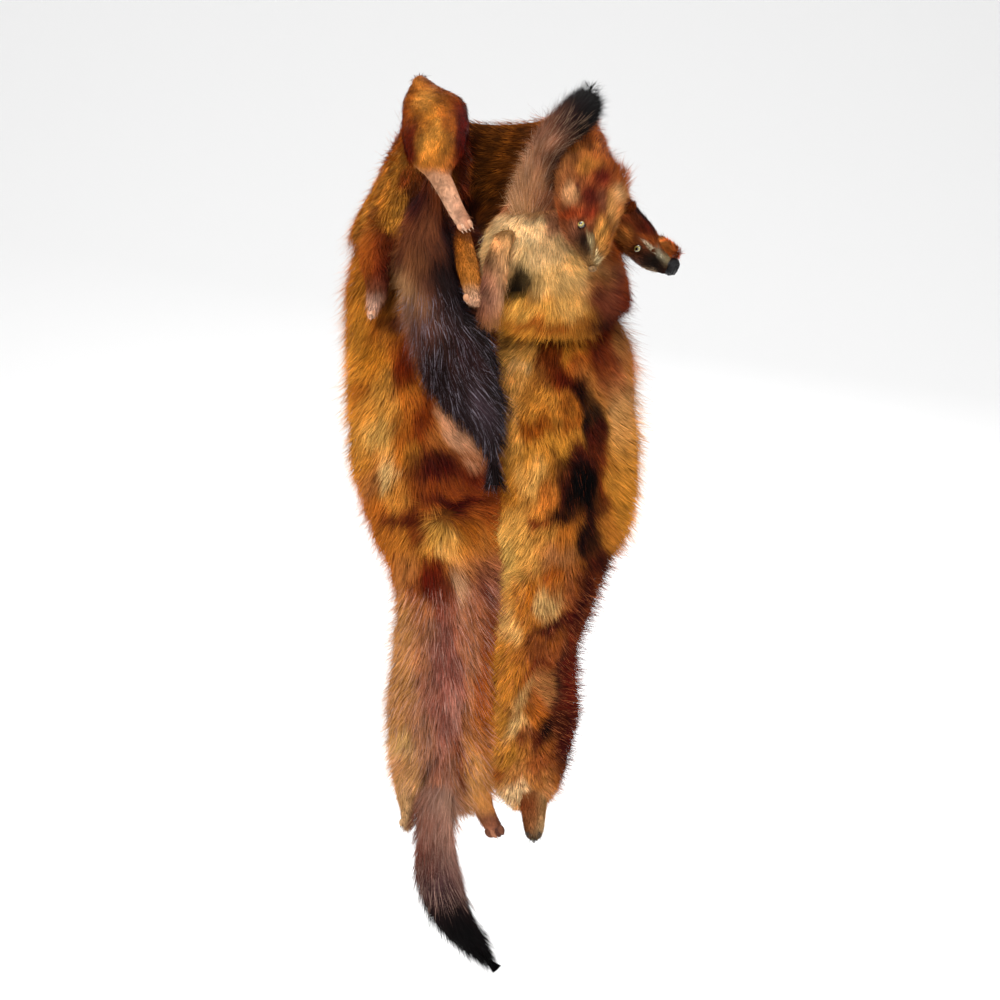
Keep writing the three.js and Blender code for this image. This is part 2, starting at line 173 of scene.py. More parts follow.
NECK_LEG_INNER = [
    [-73, -102, 105, -63, -108, 113, 10, 0],
    [-79, -110, 91, -47, -124, 99, 17, 0],
    [-80, -128, 75, -29, -150, 84, 21, 0],
    [-79, -148, 57, -26, -171, 62, 23, 0],
    [-76, -164, 42, -28, -184, 46, 22, 0],
    [-71, -174, 31, -35, -188, 33, 17, 0],
    [-60, -181, 20, -40, -191, 24, 12, 0],
    [-51, -187, 6, -35, -194, 11, 11, 0],
    [-43, -192, -9, -29, -197, -4, 10, 0],
    [-34, -195, -24, -21, -198, -19, 8, 0],
]
NECK_LEG_OUTER = [
    [-108, -150, -22, -86, -158, -22, 14, 0],
    [-110, -162, -46, -90, -170, -46, 14, 0],
    [-106, -174, -70, -93, -178, -70, 11, 0],
    [-107, -181, -92, -99, -183, -91, 7, 0],
]
LEFT_FORE_LEG = [
    [-42, -168, -24, -24, -172, -22, 13, 0],
    [-38, -184, -44, -19, -188, -42, 15, 0],
    [-33, -194, -62, -15, -198, -61, 15, 0],
    [-27, -201, -80, -12, -204, -80, 11, 0],
]
RIGHT_FORE_LEG = [
    [-5, -184, -30, 12, -188, -26, 10, 0],
    [-10, -194, -50, 6, -198, -47, 12, 0],
    [-13, -201, -72, 2, -203, -70, 12, 0],
    [-14, -204, -92, -3, -205, -92, 8, 0],
]
LEFT_HIND_LEG_OUTER = [
    [-86, -188, -446, -66, -192, -450, 15, 0],
    [-84, -190, -470, -66, -193, -472, 14, 0],
    [-80, -192, -486, -68, -194, -486, 11, 0],
    [-79, -194, -498, -70, -195, -498, 9, 0],
]
LEFT_HIND_LEG_INNER = [
    [-28, -188, -448, -10, -192, -446, 15, 0],
    [-26, -191, -470, -8, -194, -468, 16, 0],
    [-20, -193, -490, -4, -196, -486, 13, 0],
    [-11, -195, -506, 3, -197, -502, 10, 0],
]
RIGHT_HIND_LEG = [
    [14, -188, -458, 38, -188, -458, 17, 0],
    [15, -192, -480, 38, -192, -480, 17, 0],
    [18, -195, -498, 36, -195, -498, 14, 0],
    [20, -197, -507, 34, -197, -507, 10, 0],
]
HEAD_DOWN = [
    [48, -164, 28, 103, -150, 18, 24, 0],
    [46, -180, 4, 98, -170, -4, 27, 0],
    [50, -198, -22, 91, -190, -26, 26, 0],
    [60, -207, -40, 86, -203, -42, 19, 0],
    [67, -211, -51, 79, -209, -52, 13, 0],
]
HEAD_SIDE = [
    [90, -126, 2, 92, -88, 8, 34, 0],
    [103, -132, -14, 105, -96, -10, 36, 0],
    [114, -134, -25, 115, -100, -22, 34, 0],
    [124, -133, -37, 125, -105, -35, 29, 0],
    [131, -131, -43, 132, -110, -41, 24, 0],
    [136, -129, -46, 137, -113, -44, 19, 0],
]

# Swells of a skin's front: share of its length, place across, height, radius.
LEFT_SWELLS = [
    [0.2, -0.5, 4, 30],
    [0.36, 0.3, 4, 34],
    [0.5, -0.35, 5, 30],
    [0.6, 0.55, 4, 26],
    [0.8, -0.4, 3, 34],
]
RIGHT_SWELLS = [
    [0.28, 0.2, 4, 24],
    [0.38, -0.35, 5, 24],
    [0.46, 0.2, 6, 22],
    [0.47, 0.62, -5, 16],
    [0.56, -0.5, 5, 22],
    [0.64, 0.15, 6, 24],
    [0.74, -0.4, 4, 22],
    [0.8, 0.35, 4, 22],
    [0.9, -0.1, 4, 22],
]
FOLD_SWELLS = [
    [0.4, -0.3, 5, 26],
    [0.62, -0.42, -7, 11],
    [0.7, 0.35, 4, 26],
]


def unit(a):
    """Each vector divided by its own length."""
    return a / np.maximum(np.linalg.norm(a, axis=-1, keepdims=True), 1e-9)


def power(a, exponent):
    """The size of a to a power, with its own sign."""
    return np.sign(a) * np.abs(a) ** exponent


def linear(colour):
    """A colour as seen, 0 to 255, as linear light: the share of 255 to the power 2.2."""
    return (np.asarray(colour, float) / 255.0) ** 2.2


def wander(points, size, seed, waves=5):
    """Smooth noise from -1 to 1: the mean of sines along random directions, size mm long."""
    rng = np.random.default_rng(seed)
    total = np.zeros(points.shape[:-1])
    for _ in range(waves):
        way = rng.normal(size=3)
        way /= np.linalg.norm(way)
        stretch = size * rng.uniform(0.7, 1.5)
        total += np.sin(points @ way * (2 * np.pi / stretch) + rng.uniform(0, 2 * np.pi))
    return total / waves ** 0.5 / 1.3


def section_columns(rows, u):
    """Every column at the shares u, on a cubic through each row whose slope at a row is
    half the step from the row before it to the row after it."""
    rows = np.asarray(rows, float)
    held = np.vstack([2 * rows[0] - rows[1], rows, 2 * rows[-1] - rows[-2]])
    at = np.clip(u, 0, 1) * (len(rows) - 1)
    i = np.clip(at.astype(int), 0, len(rows) - 2)
    s = (at - i)[..., None]
    p0, p1, p2, p3 = (held[i + k] for k in range(4))
    bend = 2 * p0 - 5 * p1 + 4 * p2 - p3
    twist = 3 * p1 - p0 - 3 * p2 + p3
    return p1 + 0.5 * s * (p2 - p0 + s * (bend + s * twist))


class Skin:
    """A flattened tube along a section table, with a rounded cap at each end."""

    def __init__(self, rows, plump=2.35, swells=(), draws=()):
        self.rows = rows
        self.plump = plump
        self.draws = draws
        self.shares = np.linspace(0, 1, 500)
        columns = section_columns(rows, self.shares)
        middle = (columns[:, :3] + columns[:, 3:6]) / 2
        steps = np.linalg.norm(np.diff(middle, axis=0), axis=1)
        self.places = np.concatenate([[0], np.cumsum(steps)])
        self.length = self.places[-1]
        halves = np.linalg.norm(columns[:, 3:6] - columns[:, :3], axis=1) / 2
        self.reach = [min(columns[i, 6] / 2, halves[i]) for i in (0, -1)]
        self.swells = []
        for share, across, height, radius in swells:
            f = self.section(np.array([share]))
            rise = f["thick"][0] / 2 * (1 - abs(across) ** plump) ** (1 / plump)
            spot = f["middle"][0] + f["half"][0] * across + f["out"][0] * rise
            self.swells.append((spot, height, radius))

    def section(self, u):
        """The section at the shares u: its middle, half width, thickness and frame."""
        c = section_columns(self.rows, u)
        ahead = section_columns(self.rows, np.minimum(u + 0.01, 1))
        behind = section_columns(self.rows, np.maximum(u - 0.01, 0))
        middle = (c[..., :3] + c[..., 3:6]) / 2
        half = (c[..., 3:6] - c[..., :3]) / 2
        along = unit(ahead[..., :3] + ahead[..., 3:6] - behind[..., :3] - behind[..., 3:6])
        return {
            "middle": middle,
            "half": half,
            "thick": c[..., 6],
            "hollow": c[..., 7],
            "along": along,
            "out": unit(np.cross(along, half)),
        }

    def surface(self, place, angle, inset=0.0):
        """Points at a place along the path, in mm, and an angle round it. The ring is a full
        ellipse: cosine and sine of the angle to the power 2 over the plumpness, times half
        the width and half the thickness. Past an end the ring shrinks on a quarter circle.
        Each draw pulls one side, -1 or 1, in by its mm, round a share of the path."""
        held = np.clip(place, 0, self.length)
        past = place - held
        reach = np.where(past < 0, self.reach[0], self.reach[1]) - inset
        scale = np.sqrt(np.clip(1 - (past / reach) ** 2, 0, 1))
        share = np.interp(held, self.places, self.shares)
        f = self.section(share)
        width = np.linalg.norm(f["half"], axis=-1)
        across = f["half"] / width[..., None]
        v = power(np.cos(angle), 2 / self.plump)
        h = power(np.sin(angle), 2 / self.plump)
        side_inset = inset + np.zeros(np.shape(share))
        for side, much, middle, spread in self.draws:
            bell = np.exp(-(((share - middle) / spread) ** 2))
            side_inset = side_inset + much * bell * np.clip(side * np.cos(angle), 0, 1)
        p = f["middle"] + across * (v * (width - side_inset) * scale)[..., None]
        rise = h * (f["thick"] / 2 - inset) * scale - f["hollow"] * (1 - (v * scale) ** 2)
        p = p + f["out"] * rise[..., None] + f["along"] * past[..., None]
        outward = across * (v / width)[..., None] + f["out"] * (h / f["thick"] * 2)[..., None]
        outward = unit(outward)
        for spot, height, radius in self.swells:
            d = np.linalg.norm(p - spot, axis=-1) / radius
            p = p + outward * (height * np.exp(-d * d) * np.where(h > -0.2, 1, 0.2))[..., None]
        return p

    def places_along(self, count, inset, edge=0.0):
        """Places from cap to cap: even along the path, and closing in on each pole."""
        cap = np.sin(np.linspace(0, np.pi / 2, 7))[1:]
        cap = cap[:-1] if edge else cap
        before = -(self.reach[0] - inset) * cap[::-1]
        after = self.length + (self.reach[1] - inset) * cap
        return np.concatenate([before, np.linspace(0, self.length, count), after])


def mesh_piece(name, points, corners, sizes, colours=None, material=None, smooth=True):
    """A mesh from whole arrays: points in mm, the corner list and each face's corner count."""
    mesh = bpy.data.meshes.new(name)
    points = np.asarray(points, np.float32).reshape(-1, 3) * MM
    corners = np.asarray(corners, np.int32).ravel()
    sizes = np.asarray(sizes, np.int32).ravel()
    mesh.vertices.add(len(points))
    mesh.vertices.foreach_set("co", points.ravel())
    mesh.loops.add(len(corners))
    mesh.loops.foreach_set("vertex_index", corners)
    mesh.polygons.add(len(sizes))
    starts = np.concatenate([[0], np.cumsum(sizes)[:-1]]).astype(np.int32)
    mesh.polygons.foreach_set("loop_start", starts)
    mesh.polygons.foreach_set("use_smooth", np.full(len(sizes), smooth))
    mesh.update(calc_edges=True)
    if colours is not None:
        shade = mesh.color_attributes.new(name="hair", type="FLOAT_COLOR", domain="POINT")
        rgba = np.ones((len(points), 4), np.float32)
        rgba[:, :3] = np.asarray(colours).reshape(-1, 3)
        shade.data.foreach_set("color", rgba.ravel())
    if material is not None:
        mesh.materials.append(material)
    piece = bpy.data.objects.new(name, mesh)
    bpy.context.scene.collection.objects.link(piece)
    return piece


def closed_grid(grid, first, last):
    """Points and faces of rings of points, closed round and drawn to a pole at each end."""
    rows, around = grid.shape[:2]
    points = np.vstack([grid.reshape(-1, 3), first, last])
    i, k = np.meshgrid(np.arange(rows - 1), np.arange(around), indexing="ij")
    a = i * around + k
    b = i * around + (k + 1) % around
    quads = np.stack([a, a + around, b + around, b], -1).reshape(-1, 4)
    k = np.arange(around)
    after = (k + 1) % around
    top = (rows - 1) * around
    start = np.stack([np.full(around, rows * around), k, after], -1)
    end = np.stack([np.full(around, rows * around + 1), top + after, top + k], -1)
    corners = np.concatenate([quads.ravel(), start.ravel(), end.ravel()])
    sizes = np.concatenate([np.full(len(quads), 4), np.full(2 * around, 3)])
    return points, corners, sizes


def skin_grid(skin, steps, around, inset):
    """A skin's rings without its poles: places along it by angles round it."""
    places = skin.places_along(steps, inset)[1:-1]
    angles = np.arange(around) / around * 2 * np.pi
    place, angle = np.meshgrid(places, angles, indexing="ij")
    return skin.surface(place, angle, inset), places, angles


def hide(name, skin, inset, colours, material, rings=None):
    """The leather of a skin: its surface drawn in by the depth of the fur on it."""
    widest = 2 * np.linalg.norm(skin.section(skin.shares)["half"], axis=-1).max()
    steps, around = rings or (int(np.clip(skin.length / 11, 8, 44)),
                              int(np.clip(widest / 4, 14, 32)))
    grid, _, _ = skin_grid(skin, steps, around, inset)
    ends = [skin.surface(np.array([s]), np.array([0.0]), inset)[0] for s in (
        -(skin.reach[0] - inset), skin.length + skin.reach[1] - inset)]
    points, corners, sizes = closed_grid(grid, *ends)
    return mesh_piece(name, points, corners, sizes, colours(points), material)


def blend_colours(points, bands, patches, seed, ragged=5.0):
    """Fur colour at each point. Bands give the colours at the viewer's left, the middle and
    the right at a few heights, and each patch pulls the colour towards its own by its
    strength times a bell of the distance over its half sizes. Noise makes the rims ragged."""
    x = points[:, 0] + ragged * wander(points, 22, seed)
    z = points[:, 2] + ragged * wander(points, 22, seed + 1)
    heights = np.array([b[0] for b in bands], float)
    order = np.argsort(heights)
    lefts = np.array([b[1] for b in bands], float)[order]
    rights = np.array([b[2] for b in bands], float)[order]
    shades = np.array([[linear(c) for c in b[3:]] for b in bands])[order]
    left = np.interp(z, heights[order], lefts)
    right = np.interp(z, heights[order], rights)
    across = np.clip((x - left) / (right - left), 0, 1) * 2
    three = np.stack(
        [[np.interp(z, heights[order], shades[:, k, c]) for c in range(3)] for k in range(3)]
    )
    low = np.clip(across, 0, 1)[None, :]
    high = np.clip(across - 1, 0, 1)[None, :]
    colour = three[0] * (1 - low) + three[1] * (low - high) + three[2] * high
    colour = colour.T
    for px, pz, rx, rz, turn, shade, strength in patches:
        t = np.radians(turn)
        dx = (x - px) * np.cos(t) + (z - pz) * np.sin(t)
        dz = -(x - px) * np.sin(t) + (z - pz) * np.cos(t)
        d = (dx / rx) ** 2 + (dz / rz) ** 2
        w = strength * np.exp(-(d ** 1.9) * 0.6)[:, None]
        colour = colour * (1 - w) + linear(shade) * w
    mottle = 0.13 * wander(points, 9, seed + 2) + 0.12 * wander(points, 30, seed + 3)
    return colour * np.exp(mottle)[:, None]


def clump_labels(here, arc, clump, jitter):
    """The clump of each hair: the nearest of the cell centres, one in each square cell of
    the clump's size, moved about in it by the jitter."""
    gi = np.floor(here / clump).astype(int)
    gk = np.floor(arc / clump).astype(int)
    best = np.full(len(here), 1e9)
    label = np.zeros(len(here), int)
    for di in (-1, 0, 1):
        for dk in (-1, 0, 1):
            ci, ck = gi + di, gk + dk
            da = here - (ci + jitter[0, ci % CLUMP_CELLS, ck % CLUMP_CELLS]) * clump
            db = arc - (ck + jitter[1, ci % CLUMP_CELLS, ck % CLUMP_CELLS]) * clump
            d = da * da + db * db
            closer = d < best
            best = np.where(closer, d, best)
            label = np.where(closer, (ci + 50) * 4000 + ck + 50, label)
    return np.unique(label, return_inverse=True)[1]


def blades(curve, flat, wide, segments, root):
    """The points of each hair's blade, its faces' corners and their counts, the painted shade of
    each point, dark at the root for the shade deep in the coat and light at the tip, and which of
    the hair's three colours it takes. A blade is a bent lozenge of
    two triangles, or a ribbon of quads with a tip that narrows by 30% on its way."""
    if segments == 1:
        offset = flat * (wide / 2)[:, None]
        rings = [curve[0], curve[1] - offset, curve[1] + offset, curve[2]]
        return rings, np.array([0, 2, 1, 1, 2, 3]), [3, 3], [root, *LOZENGE_PAINTED_SHADES], [0, 1, 1, 2]
    rings = []
    for n in range(segments):
        offset = flat * (wide / 2 * (1 - 0.3 * n / (segments - 1)))[:, None]
        rings += [curve[n] - offset, curve[n] + offset]
    rings.append(curve[segments])
    quads = [[2 * n, 2 * n + 1, 2 * n + 3, 2 * n + 2] for n in range(segments - 1)]
    face = np.array(sum(quads, []) + [2 * segments - 2, 2 * segments - 1, 2 * segments])
    ramp = root + (RIBBON_TIP_PAINTED_LIGHT - root) * (np.arange(segments + 1) / segments) ** 0.7
    twice = [2] * segments + [1]
    which = np.repeat(np.arange(segments + 1) * 2 // segments, twice)
    return rings, face, [4] * (segments - 1) + [3], np.repeat(ramp, twice), which


def fur(name, skin, strands, length, seed, colours, material, width=0.42, inset=6.0,
        lift=(34, 12), lay=(), whorls=(), flare=0.6, reverse=False, segments=1, clump=4.0,
        pull=0.25, cover=(1.0, 0.5), stray=0.1, reach=1.45, keep=None, droop=0.1,
        tint=(0.1, 0.23), ends=(1.0, 1.0), streaks=(), root=0.4, wave=0.12, locks=0.14,
        bald=()):
    """A coat of single hairs on a skin, each a narrow flat blade with a pointed tip.

    Roots are spread by area, more on the front than on the back. A hair runs along the skin,
    turned towards the headings of the lay table, away from each whorl and outwards at the
    edges, then rises by the first lift and lies down to the second. Hairs of one clump
    lean to the clump's mean tip by the pull. Its colours are those of three places along it,
    the dark ones deepened, with painted shade at the root for the shade deep in the coat and
    painted light at the tip. The locks make it
    lighter and darker in streaks along the skin, and a share of the hairs between two heights
    takes the colour of each row of streaks. No root or long tip is in a bald spot.
    With one segment a hair is a bent lozenge of two triangles, else a ribbon with a tip."""
    rng = np.random.default_rng(seed)
    steps, around = FUR_GRID
    places = skin.places_along(steps, inset)
    angles = np.arange(around + 1) / around * 2 * np.pi
    place, angle = np.meshgrid(places, angles, indexing="ij")
    grid = skin.surface(place, angle, inset)
    step_a = np.diff(grid, axis=0)[:, :-1]
    step_b = np.diff(grid, axis=1)[:-1]
    out = np.cross(step_b, step_a)
    area = np.linalg.norm(out, axis=-1)
    out = unit(out)
    shares = np.interp(np.clip(places[:-1], 0, skin.length), skin.places, skin.shares)
    f = skin.section(shares)
    centre = grid[:-1, :-1] - f["middle"][:, None, :]
    if (np.sum(out * centre, -1) * area).sum() < 0:
        out = -out
    front = np.clip(0.5 - 0.9 * out[..., 1], 0, 1)
    weight = area * (cover[1] + (cover[0] - cover[1]) * front)
    if keep is not None:
        middle = (grid[:-1, :-1] + grid[1:, 1:]) / 2
        weight = weight * keep(middle, out)
    for px, pz, rx, rz in bald:
        d = ((grid[:-1, :-1, 0] - px) / rx) ** 2 + ((grid[:-1, :-1, 2] - pz) / rz) ** 2
        weight = weight * np.where((d < 1) & (front > 0.5), 0.02, 1)
    sums = np.cumsum(weight.ravel())
    picks = (np.arange(strands) + rng.random(strands)) / strands * sums[-1]
    cell = np.minimum(np.searchsorted(sums, picks), weight.size - 1)
    i, k = np.divmod(cell, around)
    s, t = rng.random((2, strands, 1))
    start = (
        grid[i, k] * (1 - s) * (1 - t) + grid[i + 1, k] * s * (1 - t)
        + grid[i, k + 1] * (1 - s) * t + grid[i + 1, k + 1] * s * t
    )
    normal = out[i, k]
    along = f["along"][i] * (-1 if reverse else 1)
    across = unit(f["half"][i])

    # the way each hair runs, in the plane of the skin
    side = np.sum(unit(start - f["middle"][i]) * across, -1)
    way = along + across * (flare * side * np.abs(side))[:, None]
    x, z = start[:, 0], start[:, 2]
    facing = np.clip(-normal[:, 1] * 1.5 + 0.4, 0, 1)
    for px, pz, rx, rz, heading, amount in lay:
        w = amount * facing * np.exp(-((x - px) / rx) ** 2 - ((z - pz) / rz) ** 2)
        a = np.radians(heading)
        way += w[:, None] * np.array([np.sin(a), 0, -np.cos(a)])
    for px, pz, radius, amount in whorls:
        away = np.stack([x - px, np.zeros_like(x), z - pz], -1)
        d = np.linalg.norm(away, axis=-1)
        way += (amount * facing * np.exp(-((d / radius) ** 2)))[:, None] * unit(away)
    turn = wave * (2.2 * wander(start, 46, seed + 5) + 1.2 * wander(start, 13, seed + 6))
    turn = turn + rng.normal(0, 0.09, strands)
    way = unit(way - normal * np.sum(way * normal, -1, keepdims=True))
    cross = np.cross(normal, way)
    way = way * np.cos(turn)[:, None] + cross * np.sin(turn)[:, None]

    # the clump of each hair, from its place along and round the skin
    here = places[i] + s[:, 0] * (places[i + 1] - places[i])
    girth = np.linalg.norm(step_b, axis=-1).sum(1)[i]
    arc = (k + t[:, 0]) / around * girth
    label = clump_labels(here, arc, clump, rng.random((2, CLUMP_CELLS, CLUMP_CELLS)))
    count = np.bincount(label).astype(float)

    # the curve of each hair
    guard = rng.random(strands) < stray
    long = length * rng.uniform(*HAIR_LENGTHS, strands) * (1 + 0.1 * wander(start, 30, seed + 7))
    long = long * np.interp(here / skin.length, [0, 0.3, 0.65, 1], [ends[0], 1, 1, ends[1]])
    long = np.where(guard, long * reach, long)
    end = start + way * (0.8 * long)[:, None]
    for px, pz, rx, rz in bald:
        d = ((end[:, 0] - px) / rx) ** 2 + ((end[:, 2] - pz) / rz) ** 2
        long = np.where((d < 0.9) & (normal[:, 1] < 0.2), long * 0.3, long)
    rise = np.radians(lift[0]) * rng.uniform(0.75, 1.25, strands)
    lie = np.radians(lift[1]) * rng.uniform(0.4, 1.6, strands) + np.where(guard, GUARD_RISE, 0)
    curl = rng.normal(0, 0.12, strands)
    cross = np.cross(normal, way)
    bends = max(segments, 2)
    curve = [start]
    for n in range(bends):
        share = (n + 0.5) / bends
        angle_up = rise + (lie - rise) * share
        bent = way + cross * (curl * (share + 0.3))[:, None]
        go = unit(bent) * np.cos(angle_up)[:, None] + normal * np.sin(angle_up)[:, None]
        go[:, 2] -= droop * share
        curve.append(curve[-1] + unit(go) * (long / bends)[:, None])
    for n in range(1, bends + 1):
        mean = np.stack([np.bincount(label, curve[n][:, c]) for c in range(3)], -1)
        mean = mean / count[:, None]
        lean = pull * (n / bends) ** 1.3 * rng.uniform(0.5, 1.1, len(count))[label]
        lean = np.where(guard, lean * 0.3, lean)[:, None]
        curve[n] = curve[n] * (1 - lean) + mean[label] * lean

    # the blade: flat to the skin, turned a little at random
    twist = rng.normal(0, 0.45, strands)
    flat = unit(cross) * np.cos(twist)[:, None] + normal * np.sin(twist)[:, None]
    wide = width * rng.uniform(0.75, 1.25, strands) * np.where(guard, 0.65, 1)
    rings, face, sides, painted_depth_shade, which = blades(curve, flat, wide, segments, root)
    per = len(rings)
    points = np.stack(rings, 1)
    corners = (np.arange(strands) * per)[:, None] + face[None, :]
    sizes = np.tile(sides, strands)

    shift = rng.uniform(-0.2, 0.2, (strands, 1))
    shade = np.stack([colours(start + (curve[-1] - start) * (place + shift))
                      for place in (0.3, 0.6, 0.9)], 1)
    bright = shade @ np.array([0.3, 0.6, 0.1])
    shade = shade * np.clip((bright / DEEPEN_KNEE) ** DEEPEN_BEND, *DEEPEN_LIMITS)[..., None]
    for share, colour, strength, low, top in streaks:
        w = (rng.random(strands) < share) & (start[:, 2] > low) & (start[:, 2] < top)
        w = w[:, None, None] * strength
        shade = shade * (1 - w) + linear(colour) * w
    clump_tint = np.exp(rng.normal(0, tint[0], len(count)))[label]
    deep = 1 + np.clip(1 - bright.mean(1) / 0.1, 0, 1)
    own_tint = np.exp(rng.normal(0, tint[1], strands) * deep)
    streak = wander(np.stack([arc * 4, here, here * 0], -1), 24, seed + 9)
    shade = shade * (clump_tint * own_tint * np.exp(locks * 1.6 * streak))[:, None, None]
    vertex_shade = shade[:, which] * np.asarray(painted_depth_shade)[None, :, None]
    return mesh_piece(name, points, corners, sizes, vertex_shade, material, smooth=False)


def node_material(name, roughness=0.5, specular=0.5, coat=0.0):
    """A surface with its uniform values on the shader itself."""
    material = bpy.data.materials.new(name)
    material.use_nodes = True
    shader = material.node_tree.nodes["Principled BSDF"]
    shader.inputs["Roughness"].default_value = roughness
    shader.inputs["Specular IOR Level"].default_value = specular
    shader.inputs["Coat Weight"].default_value = coat
    shader.inputs["Coat Roughness"].default_value = 0.05
    return material, material.node_tree, shader


def attribute_colour(tree, shader):
    """The piece's own colour attribute as the base colour."""
    source = tree.nodes.new("ShaderNodeVertexColor")
    source.layer_name = "hair"
    tree.links.new(source.outputs["Color"], shader.inputs["Base Color"])
    return source


def hair_material(name, roughness, specular):
    """Hair in the piece's own colours."""
    material, tree, shader = node_material(name, roughness, specular)
    attribute_colour(tree, shader)
    return material


def bumpy_material(name, roughness, scale, strength, distance, specular=0.4, coat=0.0,
                   spread=(0.55, 1.25), swirl=0.0):
    """The attribute colour with fine noise for colour and bump, as on worn leather."""
    material, tree, shader = node_material(name, roughness, specular, coat)
    source = attribute_colour(tree, shader)
    place = tree.nodes.new("ShaderNodeTexCoord")
    noise = tree.nodes.new("ShaderNodeTexNoise")
    noise.inputs["Scale"].default_value = scale
    noise.inputs["Detail"].default_value = 7
    noise.inputs["Distortion"].default_value = swirl
    tree.links.new(place.outputs["Object"], noise.inputs["Vector"])
    ramp = tree.nodes.new("ShaderNodeMapRange")
    ramp.inputs["From Min"].default_value = 0.3
    ramp.inputs["From Max"].default_value = 0.7
    ramp.inputs["To Min"].default_value = spread[0]
    ramp.inputs["To Max"].default_value = spread[1]
    tree.links.new(noise.outputs["Fac"], ramp.inputs["Value"])
    mix = tree.nodes.new("ShaderNodeVectorMath")
    mix.operation = "SCALE"
    tree.links.new(source.outputs["Color"], mix.inputs[0])
    tree.links.new(ramp.outputs["Result"], mix.inputs["Scale"])
    tree.links.new(mix.outputs["Vector"], shader.inputs["Base Color"])
    bump = tree.nodes.new("ShaderNodeBump")
    bump.inputs["Strength"].default_value = strength
    bump.inputs["Distance"].default_value = distance
    tree.links.new(noise.outputs["Fac"], bump.inputs["Height"])
    tree.links.new(bump.outputs["Normal"], shader.inputs["Normal"])
    return material


hair = hair_material("fur_hair", 0.6, 0.06)
tail_hair = hair_material("tail_hair", 0.5, 0.08)
under_leather = bumpy_material("under_fur_leather", 0.9, 900, 0.5, 0.0006, specular=0.05)
paw_leather = bumpy_material("worn_paw_leather", 0.7, 170, 1.0, 0.0016, specular=0.2,
                             spread=(0.45, 1.3), swirl=0.8)
nose_leather = bumpy_material("black_nose", 0.4, 1500, 0.5, 0.0003, specular=0.25)
eye_glass, eye_tree, eye_shader = node_material("eye_glass", 0.06, 0.6, 1.0)
attribute_colour(eye_tree, eye_shader)
claw_horn = bumpy_material("claw_horn", 0.3, 500, 0.2, 0.0002, coat=0.2)

# Colour bands: height, left limit, right limit, colours at the left, middle and right.
LEFT_BANDS = [
    [20, -126, -10, ORANGE, RUST, DARK_RED],
    [-60, -126, -8, ORANGE, RUST, DARK_RED],
    [-120, -126, -6, GOLD, ORANGE, RUST],
    [-180, -124, -4, GOLD, ORANGE, TAN],
    [-215, -120, -4, GOLD, RUST, RUST],
    [-250, -112, -4, ORANGE, RUST, RUST],
    [-275, -100, -4, ORANGE, GOLD, ORANGE],
    [-310, -86, -4, ORANGE, RUST, PLUM],
    [-350, -86, -6, TAN, PLUM, RUST],
    [-420, -90, -8, TAN, PLUM, ORANGE],
    [-490, -86, -10, TAN, TAUPE, TAN],
]
# Colour patches: x, z, half width, half height, turn, colour, strength.
LEFT_PATCHES = [
    [-97, -62, 7, 20, 0, (90, 25, 11), 0.9],
    [-86, -76, 7, 18, 0, (140, 92, 44), 0.7],
    [-86, -100, 13, 6, 15, (76, 26, 20), 0.85],
    [-106, -106, 7, 12, 0, (154, 74, 22), 0.6],
    [-116, -90, 8, 46, 0, (204, 134, 46), 0.7],
    [-80, -120, 11, 14, -20, (172, 84, 28), 0.8],
    [-75, -138, 9, 13, -25, (132, 42, 12), 0.9],
    [-102, -132, 12, 16, 0, (198, 122, 36), 0.8],
    [-115, -154, 6, 9, 0, (172, 88, 22), 0.7],
    [-94, -166, 14, 22, 0, (208, 146, 64), 0.85],
    [-101, -192, 13, 14, 0, (216, 164, 84), 0.9],
    [-77, -176, 6, 34, 0, (176, 94, 28), 0.75],
    [-61, -178, 10, 28, -20, (136, 52, 15), 0.9],
    [-76, -130, 8, 26, -20, (120, 38, 12), 0.85],
    [-91, -224, 7.5, 13, 0, (226, 182, 114), 0.95],
    [-70, -204, 9, 10, 0, (192, 122, 42), 0.7],
    [-32, -190, 6.5, 24, 32, (212, 154, 114), 0.9],
    [-50, -216, 20, 13, 0, (72, 17, 12), 1.0],
    [-19, -224, 15, 9, 0, (110, 34, 14), 0.9],
    [-34, -242, 26, 6, 0, (78, 20, 11), 1.0],
    [-107, -232, 6, 18, -15, (184, 110, 60), 0.7],
    [-86, -240, 11, 8, 0, (198, 132, 54), 0.8],
    [-78, -258, 15, 8, 0, (88, 25, 9), 1.0],
    [-66, -270, 8, 8, 0, (114, 38, 12), 0.9],
    [-92, -271, 8, 8, 0, (178, 102, 36), 0.7],
    [-50, -268, 12, 13, 0, (222, 158, 70), 0.95],
    [-27, -265, 11, 9, 0, (162, 84, 18), 0.85],
    [-43, -281, 8, 8, 0, (228, 172, 92), 0.9],
    [-14, -276, 9, 10, 0, (176, 104, 44), 0.7],
    [-56, -306, 13, 17, 0, (104, 26, 8), 1.0],
    [-76, -298, 9, 12, -20, (174, 106, 56), 0.7],
    [-30, -312, 5, 17, 10, (212, 160, 116), 0.9],
    [-10, -320, 5, 24, 0, (94, 42, 30), 0.9],
    [-48, -326, 7, 17, 0, (118, 46, 22), 0.85],
    [-42, -390, 14, 56, 0, (140, 78, 66), 0.9],
    [-80, -376, 12, 60, 0, (196, 134, 74), 0.85],
    [-64, -350, 6, 30, 10, (170, 104, 66), 0.7],
    [-80, -436, 10, 12, 0, (216, 168, 102), 0.85],
    [-22, -368, 7, 50, 0, (172, 108, 70), 0.75],
    [-11, -384, 4, 50, 0, (150, 70, 30), 0.8],
    [-36, -408, 8, 14, 0, (180, 120, 100), 0.7],
    [-20, -462, 8, 22, 0, (210, 146, 78), 0.9],
    [-31, -458, 2.6, 26, 0, (108, 46, 26), 0.85],
    # painted shade: the dark crease beside the left tail's root
    [-57, -464, 3.5, 18, -17, (52, 28, 20), 0.9],
    [-72, -468, 9, 14, 0, (208, 154, 94), 0.8],
]
